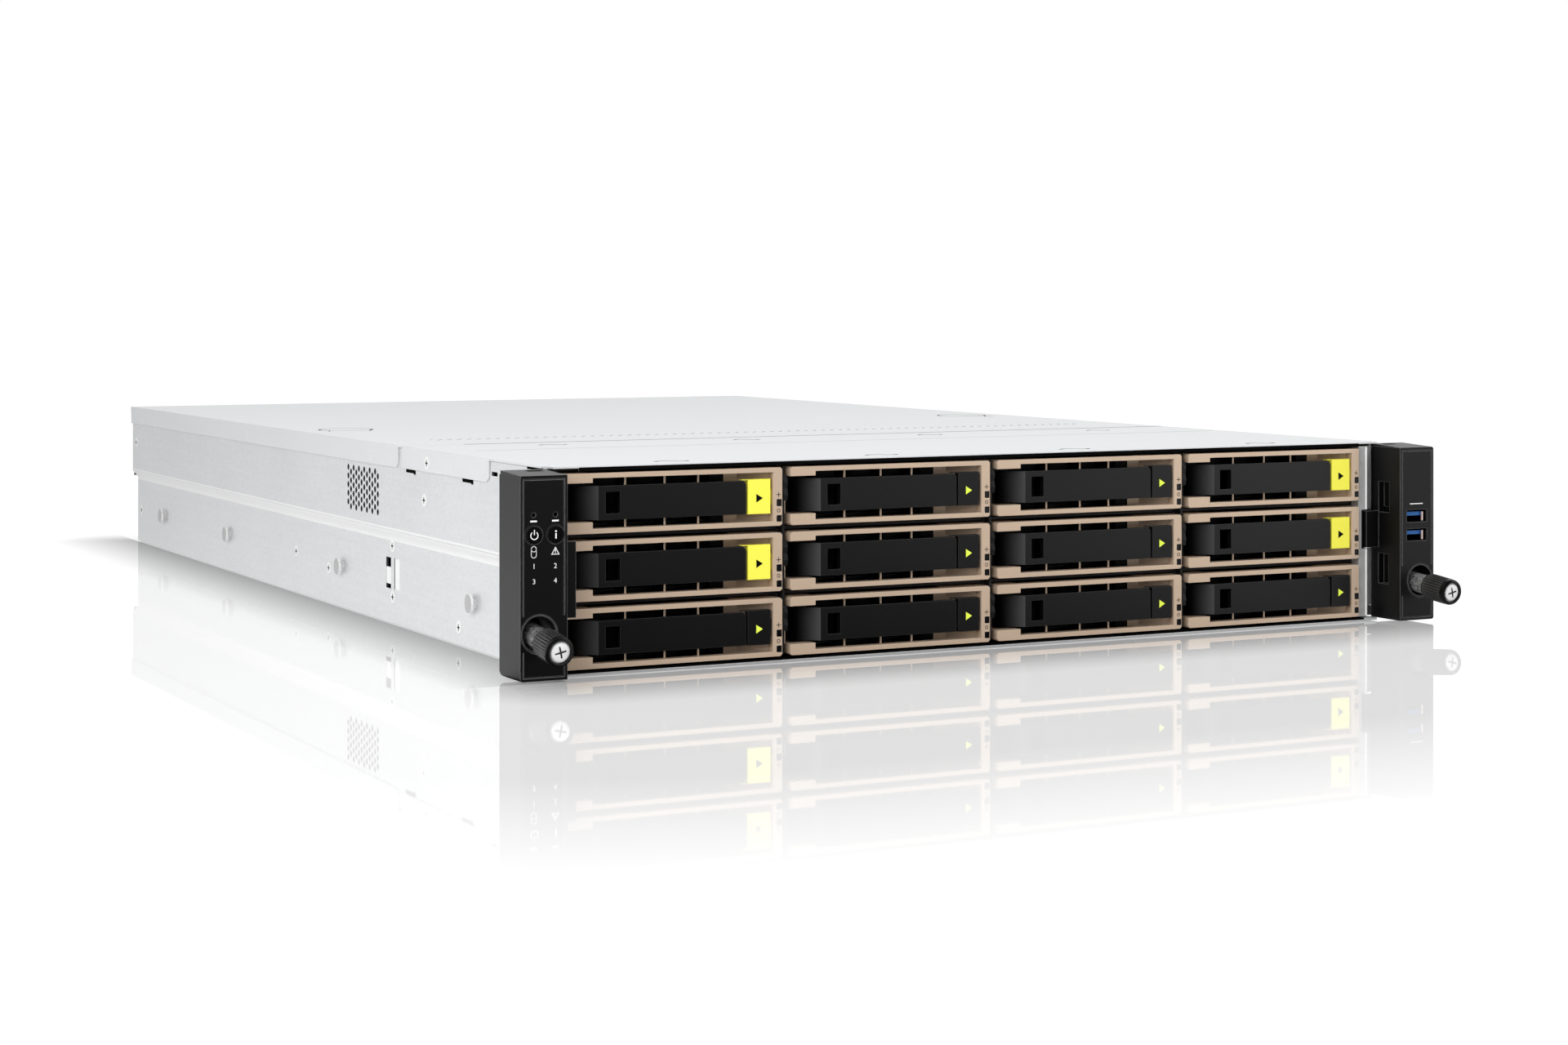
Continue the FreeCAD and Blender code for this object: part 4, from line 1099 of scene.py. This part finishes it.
class SERVER_OT_fasteners(bpy.types.Operator):
    """Screws of the side walls, set by Geometry Nodes"""
    bl_idname = "server.fasteners"
    bl_label = "Fasteners"
    # Places of the screws along the wall and above the underside
    upper_screws = ((148.0, 63.9), (704.0, 65.0))
    lower_screws = ((305.0, 18.0), (111.0, 7.8), (203.6, 37.7), (203.0, 12.7), (704.0, 20.5), (362.0, 22.0))
    flange_screw = (141.8, 81.7)
    slots = ((72.3, 83.0, 97.0), (149.8, 160.0, 173.6))     # front end, start of the opening, rear end

    def execute(self, context):
        tree = self.screw_tree()
        for side, name in SIDES:
            points = [(side * UPPER_WALL, y, z) for y, z in self.upper_screws]
            points += [(side * LOWER_WALL, y, z) for y, z in self.lower_screws]
            points.append((side * FLANGE, *self.flange_screw))
            screws = grown(name + "_wall_screws", points, tree,
                           {"Head Diameter": sizes().screw, "Turn": math.radians(90) * side})
            add_piece(name + "_wall_screws", screws, None, "chassis")
            # The wall's bend gets near-white zinc as a painted highlight on the fold.
            for part, build, material in (("wall_bend", self.bend, "bend_highlight_zinc"),
                                          ("wall_clips", self.clips, "painted_highlight_white"),
                                          ("slot_fillers", self.slot_fillers, "zinc_sheet"),
                                          ("slot_shadows", self.slot_shadows, "deep_shadow")):
                mesh_piece(name + "_" + part, lambda bm: build(bm, side), material, "chassis")
            marks = built_mesh(name + "_flange_marks", self.flange_marks)
            facing = Matrix.Rotation(math.radians(90), 4, "Z")
            marks.transform(Matrix.Translation((side * (FLANGE + 0.03) * MM, 0, 0)) @ facing)
            add_piece(name + "_flange_marks", marks, "painted_highlight_white", "rear_cover")
        return {"FINISHED"}

    def bend(self, bm, side):
        """Soft double bend where the upper wall steps out from the lower one."""
        outline = [(221.56, 47.4), (221.5, 46.4), (221.15, 45.4), (220.5, 44.5), (219.6, 43.5), (218.8, 42.4),
                   (218.3, 41.3), (218.06, 40.2), (217.4, 40.2), (217.4, 43.6), (220.8, 46.4), (220.8, 47.4)]
        add_plate(bm, [(side * x, z) for x, z in outline], 0.3, 712.5)
        outward(bm)

    def clips(self, bm, side):
        """Tab in the wall's opening, and the pressed bar beside it, painted near-white as painted highlights.
        """
        for inner, outer, first, last, low, high in ((217.1, 217.9, 206, 213, 18.8, 27.0),
                                                     (217.3, 218.15, 193.3, 199.4, 16.9, 31.8)):
            left, right = span(side, inner, outer)
            add_block(bm, (left, first, low), (right, last, high))

    def slot_fillers(self, bm, side):
        """Closed front ends of the two slots below the cover's flange."""
        left, right = span(side, UPPER_WALL - 0.8, UPPER_WALL + 0.01)
        for front, opening, _ in self.slots:
            add_block(bm, (left, front, 75.1), (right, opening, 77.4))

    def slot_shadows(self, bm, side):
        """Painted shadow of the open rear ends of the same slots."""
        left, right = span(side, UPPER_WALL - 0.8, UPPER_WALL + 0.03)
        for _, opening, rear in self.slots:
            add_block(bm, (left, opening, 75.7), (right, rear, 77.4))

    def flange_marks(self, bm):
        """Painted highlights on the rims of the half-pierced ovals of the cover's flange, drawn across X and
        turned to face the side.
        """
        for y, start, end in ((680, -80, 80), (440, -80, 80), (224.5, 0, 360)):
            add_ring(bm, y, 81.5, 2.4, 2.75, -0.02, 0.03, start, end, 20)
        outward(bm)

    def screw_tree(self):
        """Screw head on every point, facing out of the wall, with its cross recess drawn as a raised cross in
        painted shade.
        """
        rise, cross_rise, taper, long, short = 0.25 * MM, 0.55 * MM, 0.9, 0.46, 0.12
        tree, entry, leave = start_geometry("wall_screw", [("Head Diameter", 0.0054), ("Turn", 0.0)])
        diameter = entry.outputs["Head Diameter"]
        radius = compute(tree, "MULTIPLY", diameter, 0.5)
        head = put(tree, "GeometryNodeMeshCone", None, Vertices=28, Depth=rise, Radius_Bottom=radius,
                   Radius_Top=compute(tree, "MULTIPLY", radius, taper))
        parts = [(head, "screw_steel")]
        for wide, tall in ((long, short), (short, long)):
            size = put(tree, "ShaderNodeCombineXYZ", None, X=compute(tree, "MULTIPLY", diameter, wide),
                       Y=compute(tree, "MULTIPLY", diameter, tall), Z=cross_rise)
            parts.append((put(tree, "GeometryNodeMeshCube", None, Size=size.outputs[0]), "grey_shadow"))
        joined = tree.nodes.new("GeometryNodeJoinGeometry")
        for part, material in parts:
            painted = put(tree, "GeometryNodeSetMaterial", None, Geometry=part.outputs[0],
                          Material=material_named(material))
            tree.links.new(painted.outputs[0], joined.inputs[0])
        turn = put(tree, "ShaderNodeCombineXYZ", None, Y=entry.outputs["Turn"])
        placed = put(tree, "GeometryNodeInstanceOnPoints", None, Points=entry.outputs["Points"],
                     Instance=joined.outputs[0], Rotation=turn.outputs[0])
        real = put(tree, "GeometryNodeRealizeInstances", None, Geometry=placed.outputs[0])
        tree.links.new(real.outputs[0], leave.inputs[0])
        return tree


# ---- covers ----------------------------------------------------------------------------------

class SERVER_OT_covers(bpy.types.Operator):
    """Covers with their perforated row and pressed marks"""
    bl_idname = "server.covers"
    bl_label = "Covers"

    def execute(self, context):
        lozenges = grown("perforations", self.row_of_holes(), self.lozenge_tree(),
                         {"Length": 2.0 * MM, "Width": 2.4 * MM})
        rear = cut_away(merged_copy("rear_cover"), lozenges)
        rear = cut_away(rear, dark_mesh("thumb_rings", self.thumb_rings))
        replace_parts(add_painted("rear_cover_sheet", rear, "zinc_top", "rear_cover"),
                    "rear_cover")
        front = cut_away(merged_copy("front_cover"), dark_mesh("marks", self.marks))
        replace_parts(add_painted("front_cover_sheet", front, "zinc_top", "chassis"),
                    "front_cover")
        mesh_piece("cover_seam", self.seam, "soft_shadow", "rear_cover")
        mesh_piece("stiffening_line", self.stiffening_line, "soft_shadow", "chassis")
        mesh_piece("lip_faces", self.lip_faces, "deep_shadow", "chassis")
        return {"FINISHED"}

    def row_of_holes(self):
        """Places of the perforations, in two staggered lines across the rear cover."""
        first, pitch, middle, stagger, count = -190, 2.6, 224.0, 1.8, 149
        return [(first + pitch * step, middle + stagger * (-1) ** step, COVER_TOP) for step in range(count)]

    def lip_faces(self, bm):
        """Painted shadow on the inner sides of the lips above and below the trays."""
        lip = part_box("front_cover")[0].y / MM
        add_block(bm, (-208.1, lip - 0.06, 85.95), (208.1, lip + 0.3, COVER_TOP - 0.45))
        add_block(bm, (-219.4, lip - 0.06, 0.5), (211.5, -0.3, 1.27))

    def seam(self, bm):
        """Shaded gap along the front edge of the rear cover."""
        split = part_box("rear_cover")[0].y / MM
        add_block(bm, (-190, split - 0.1, COVER_TOP - 0.5), (221.8, split + 1.7, COVER_TOP + 0.01))

    def stiffening_line(self, bm):
        """Painted shade of a pressed line across the front cover."""
        add_block(bm, (-205, 123.2, COVER_TOP - 0.2), (216, 124.0, COVER_TOP + 0.01))

    def lozenge_tree(self):
        """Small lozenge cutter on every point."""
        tree, entry, leave = start_geometry("perforation", [("Length", 0.002), ("Width", 0.001)])
        shape = put(tree, "GeometryNodeMeshCylinder", None, Vertices=4, Radius=0.5, Depth=1.0 * MM)
        scale = put(tree, "ShaderNodeCombineXYZ", None, X=entry.outputs["Length"],
                    Y=entry.outputs["Width"], Z=1.0)
        sized = put(tree, "GeometryNodeTransform", None, Geometry=shape.outputs[0], Scale=scale.outputs[0])
        placed = put(tree, "GeometryNodeInstanceOnPoints", None, Points=entry.outputs["Points"],
                     Instance=sized.outputs[0])
        real = put(tree, "GeometryNodeRealizeInstances", None, Geometry=placed.outputs[0])
        painted = put(tree, "GeometryNodeSetMaterial", None, Geometry=real.outputs[0],
                      Material=material_named("deep_shadow"))
        tree.links.new(painted.outputs[0], leave.inputs[0])
        return tree

    def arc_cutter(self, bm, x, y, radius, start, end, half=0.9):
        """Curved groove in the top sheet, from one angle to another."""
        steps, above, below = 14, COVER_TOP + 1, COVER_TOP - 0.4
        loops = []
        for step in range(steps + 1):
            turn = math.radians(start + (end - start) * step / steps)
            loops.append([add_vert(bm, x + r * math.cos(turn), y + r * math.sin(turn), z) for r, z in (
                (radius - half, above), (radius + half, above), (radius + half, below),
                (radius - half, below))])
        join_loops(bm, loops)

    def thumb_rings(self, bm):
        """Round lines of the two thumb pads, each in three arcs that almost meet."""
        for x in (-194.5, 194.5):
            for start in (0, 120, 240):
                self.arc_cutter(bm, x, 349, 14.3, start + 0.4, start + 119.6, 0.6)
        outward(bm)

    def marks(self, bm):
        """Pairs of pressed arcs along the front edge and across the middle of the front cover."""
        for x in (-156, -51, 56, 161):
            self.arc_cutter(bm, x, 154, 4.2, 20, 160)
            self.arc_cutter(bm, x + 7, 157, 3.0, 200, 340)
        for x in (-161, -56, 48.5, 157):
            self.arc_cutter(bm, x, 7, 5.0, 25, 155)
            self.arc_cutter(bm, x + 8, 11, 3.6, 200, 340)
        outward(bm)


# ---- stage -----------------------------------------------------------------------------------

WHITE = (1, 1, 1, 1)


class SERVER_OT_stage(bpy.types.Operator):
    """Lay the floor, hang the lamps and set the camera"""
    bl_idname = "server.stage"
    bl_label = "Stage"

    def execute(self, context):
        self.floor()
        self.world()
        self.lamps()
        self.camera()
        context.scene.view_settings.view_transform = "Standard"
        return {"FINISHED"}

    def floor(self):
        """Floor just under the part."""
        reach, drop = 30.0, -0.4 * MM
        mesh = built_mesh("floor", lambda bm: bmesh.ops.create_grid(
            bm, x_segments=1, y_segments=1, size=reach))
        floor = bpy.data.objects.new("floor", mesh)
        floor.location.z = drop
        bpy.context.scene.collection.objects.link(floor)
        material = bpy.data.materials.new("white_floor")
        material.use_nodes = True
        tree = material.node_tree
        tree.nodes.clear()
        path = put(tree, "ShaderNodeLightPath")
        plain = put(tree, "ShaderNodeBsdfDiffuse", None, Color=(0.8, 0.8, 0.8, 1))
        indirect = self.mixed(tree, path.outputs["Is Glossy Ray"], plain, self.floor_reflected(tree))
        whole = self.mixed(tree, path.outputs["Is Camera Ray"], indirect, self.floor_seen(tree))
        put(tree, "ShaderNodeOutputMaterial", None, Surface=whole.outputs[0])
        mesh.materials.append(material)

    def glow(self, tree, strength):
        """White light of a given strength, whatever falls on it."""
        return put(tree, "ShaderNodeEmission", None, Color=WHITE, Strength=strength)

    def floor_seen(self, tree):
        """What the camera sees: white far away, a mirror near the part, and a painted shadow at its foot.

        Spans are distances from the part. The mirror fades in two steps.
        """
        foot, near, far, white = (0.0, 0.05), (0.0, 0.06), (0.22, 0.40), (0.12, 0.5)
        left_side, front_side, faint, strong = -0.219, -0.02, 0.12, 0.5
        lit = put(tree, "ShaderNodeBsdfDiffuse", None, Color=(0.26, 0.26, 0.26, 1))
        surface = put(tree, "ShaderNodeAddShader")
        tree.links.new(lit.outputs[0], surface.inputs[0])
        tree.links.new(self.glow(tree, 0.78).outputs[0], surface.inputs[1])
        mirror = put(tree, "ShaderNodeBsdfGlossy", None, Color=(1.06, 1.06, 1.06, 1), Roughness=0.02)
        away = self.distance_to_part(tree)
        half_gloss = bpy.context.scene.server_stage.gloss * 0.5
        share = compute(tree, "ADD", remap(tree, away, *near, half_gloss, 0.0),
                        remap(tree, away, *far, half_gloss, 0.0))
        place = put(tree, "ShaderNodeSeparateXYZ", None, Vector=object_place(tree))
        beside = compute(tree, "MULTIPLY", compute(tree, "LESS_THAN", place.outputs["X"], left_side),
                         compute(tree, "GREATER_THAN", place.outputs["Y"], front_side))
        # Painted shadow on the floor, strongest at the part's foot and beside its left wall.
        shadow = compute(tree, "MULTIPLY", remap(tree, away, *foot, 1.0, 0.0),
                         choose(tree, beside, faint, strong))
        for amount, layer in ((remap(tree, away, *white, 0.0, 1.0), self.glow(tree, 1.04)),
                              (share, mirror), (shadow, self.glow(tree, 0.0))):
            surface = self.mixed(tree, amount, surface, layer)
        return surface

    def floor_reflected(self, tree):
        """What shiny faces see of the floor: in front it brightens to the right, behind it dims."""
        place = put(tree, "ShaderNodeSeparateXYZ", None, Vector=object_place(tree))
        across, along = place.outputs["X"], place.outputs["Y"]
        ahead = remap(tree, across, 0.0, 0.62, 0.02, 0.95)
        behind = remap(tree, along, 0.4, 1.5, 1.0, 0.5)
        return self.glow(tree, choose(tree, compute(tree, "GREATER_THAN", along, 0.0), ahead, behind))

    def mixed(self, tree, amount, first, second):
        """Mix of two shaders."""
        mix = put(tree, "ShaderNodeMixShader", None, Fac=amount)
        tree.links.new(first.outputs[0], mix.inputs[1])
        tree.links.new(second.outputs[0], mix.inputs[2])
        return mix

    def distance_to_part(self, tree):
        """Distance on the floor from the part's outline, drawn in a little."""
        inset = 0.02
        place = put(tree, "ShaderNodeSeparateXYZ", None, Vector=object_place(tree))
        low, high = CAD_BOX
        gaps = []
        for axis in (0, 1):
            middle, half = (low[axis] + high[axis]) / 2, (high[axis] - low[axis]) / 2 - inset
            offset = compute(tree, "ABSOLUTE", compute(tree, "SUBTRACT", place.outputs[axis], middle))
            gap = compute(tree, "MAXIMUM", compute(tree, "SUBTRACT", offset, half), 0.0)
            gaps.append(compute(tree, "MULTIPLY", gap, gap))
        return compute(tree, "SQRT", compute(tree, "ADD", *gaps))

    def world(self):
        """White room. Diffuse faces see it dimmed, and shiny ones see it dark in front of the part."""
        world = bpy.data.worlds.new("soft_room")
        bpy.context.scene.world = world
        world.use_nodes = True
        tree = world.node_tree
        tree.nodes.clear()
        path = put(tree, "ShaderNodeLightPath")
        way = put(tree, "ShaderNodeSeparateXYZ", None,
                  Vector=put(tree, "ShaderNodeTexCoord").outputs["Generated"])
        across, along = way.outputs["X"], way.outputs["Y"]
        ahead = remap(tree, across, 0.36, 0.70, 0.04, 1.05)
        left = remap(tree, across, -0.40, -0.22, 1.0, 0.5)
        right = remap(tree, across, 0.2, 0.6, 1.02, 1.2)
        behind = choose(tree, compute(tree, "GREATER_THAN", across, 0.0), left, right)
        shine = choose(tree, compute(tree, "GREATER_THAN", along, 0.0), ahead, behind)
        strength = choose(tree, path.outputs["Is Glossy Ray"], 0.4, shine)
        strength = choose(tree, path.outputs["Is Camera Ray"], strength, 1.0)
        sky = put(tree, "ShaderNodeBackground", None, Color=WHITE, Strength=strength)
        put(tree, "ShaderNodeOutputWorld", None, Surface=sky.outputs[0])

    def lamps(self):
        """Three soft boxes, which shiny faces don't see."""
        middle = (0, 0.3, 0.04)
        for name, place, target, size, power in (
                ("left_softbox", (-1.15, -0.65, 0.6), (-0.2, 0.15, 0.04), (1.0, 0.9), 13.0),
                ("top_softbox", (0.2, 0.2, 2.0), middle, (2.0, 1.6), 13.6),
                ("front_softbox", (0.9, -2.0, 1.1), middle, (1.2, 1.0), 15.0)):
            light = bpy.data.lights.new(name, "AREA")
            light.shape = "RECTANGLE"
            light.size, light.size_y = size
            light.energy = power
            lamp = bpy.data.objects.new(name, light)
            lamp.location = place
            lamp.rotation_euler = (Vector(target) - Vector(place)).to_track_quat("-Z", "Y").to_euler()
            lamp.visible_glossy = False
            bpy.context.scene.collection.objects.link(lamp)

    def camera(self):
        """Level camera, with the lens shifted down to keep upright edges upright."""
        stage = bpy.context.scene.server_stage
        data = bpy.data.cameras.new("camera")
        data.sensor_width = 36.0
        data.lens = stage.lens
        data.shift_y = stage.rise
        data.clip_start = 0.05
        data.clip_end = 100.0
        camera = bpy.data.objects.new("camera", data)
        camera.location = stage.camera_place
        camera.rotation_euler = (math.radians(90), 0, stage.camera_turn)
        bpy.context.scene.collection.objects.link(camera)
        bpy.context.scene.camera = camera


# ---- panel and registration ------------------------------------------------------------------

STEPS = (SERVER_OT_finishes, SERVER_OT_thumbscrews, SERVER_OT_trays, SERVER_OT_springs, SERVER_OT_ears,
         SERVER_OT_fasteners, SERVER_OT_covers, SERVER_OT_stage)


class SERVER_PT_panel(bpy.types.Panel):
    """List of the steps and of the values that they use"""
    bl_idname = "SERVER_PT_panel"
    bl_label = "Rack server"
    bl_space_type = "VIEW_3D"
    bl_region_type = "UI"
    bl_category = "Server"

    def draw(self, context):
        layout = self.layout
        for group in (context.scene.server_finishes, context.scene.server_sizes, context.scene.server_stage):
            box = layout.box()
            for name in group.__annotations__:
                box.prop(group, name)
        for step in STEPS:
            layout.operator(step.bl_idname)


GROUPS = (ServerFinishes, ServerSizes, ServerStage)
CLASSES = GROUPS + STEPS + (SERVER_PT_panel,)


def register():
    for item in CLASSES:
        bpy.utils.register_class(item)
    bpy.types.Scene.server_finishes = PointerProperty(type=ServerFinishes)
    bpy.types.Scene.server_sizes = PointerProperty(type=ServerSizes)
    bpy.types.Scene.server_stage = PointerProperty(type=ServerStage)


def unregister():
    del bpy.types.Scene.server_stage
    del bpy.types.Scene.server_sizes
    del bpy.types.Scene.server_finishes
    for item in reversed(CLASSES):
        bpy.utils.unregister_class(item)


def main():
    register()
    for step in STEPS:
        area, name = step.bl_idname.split(".")
        getattr(getattr(bpy.ops, area), name)()


if __name__ == "__main__":
    main()
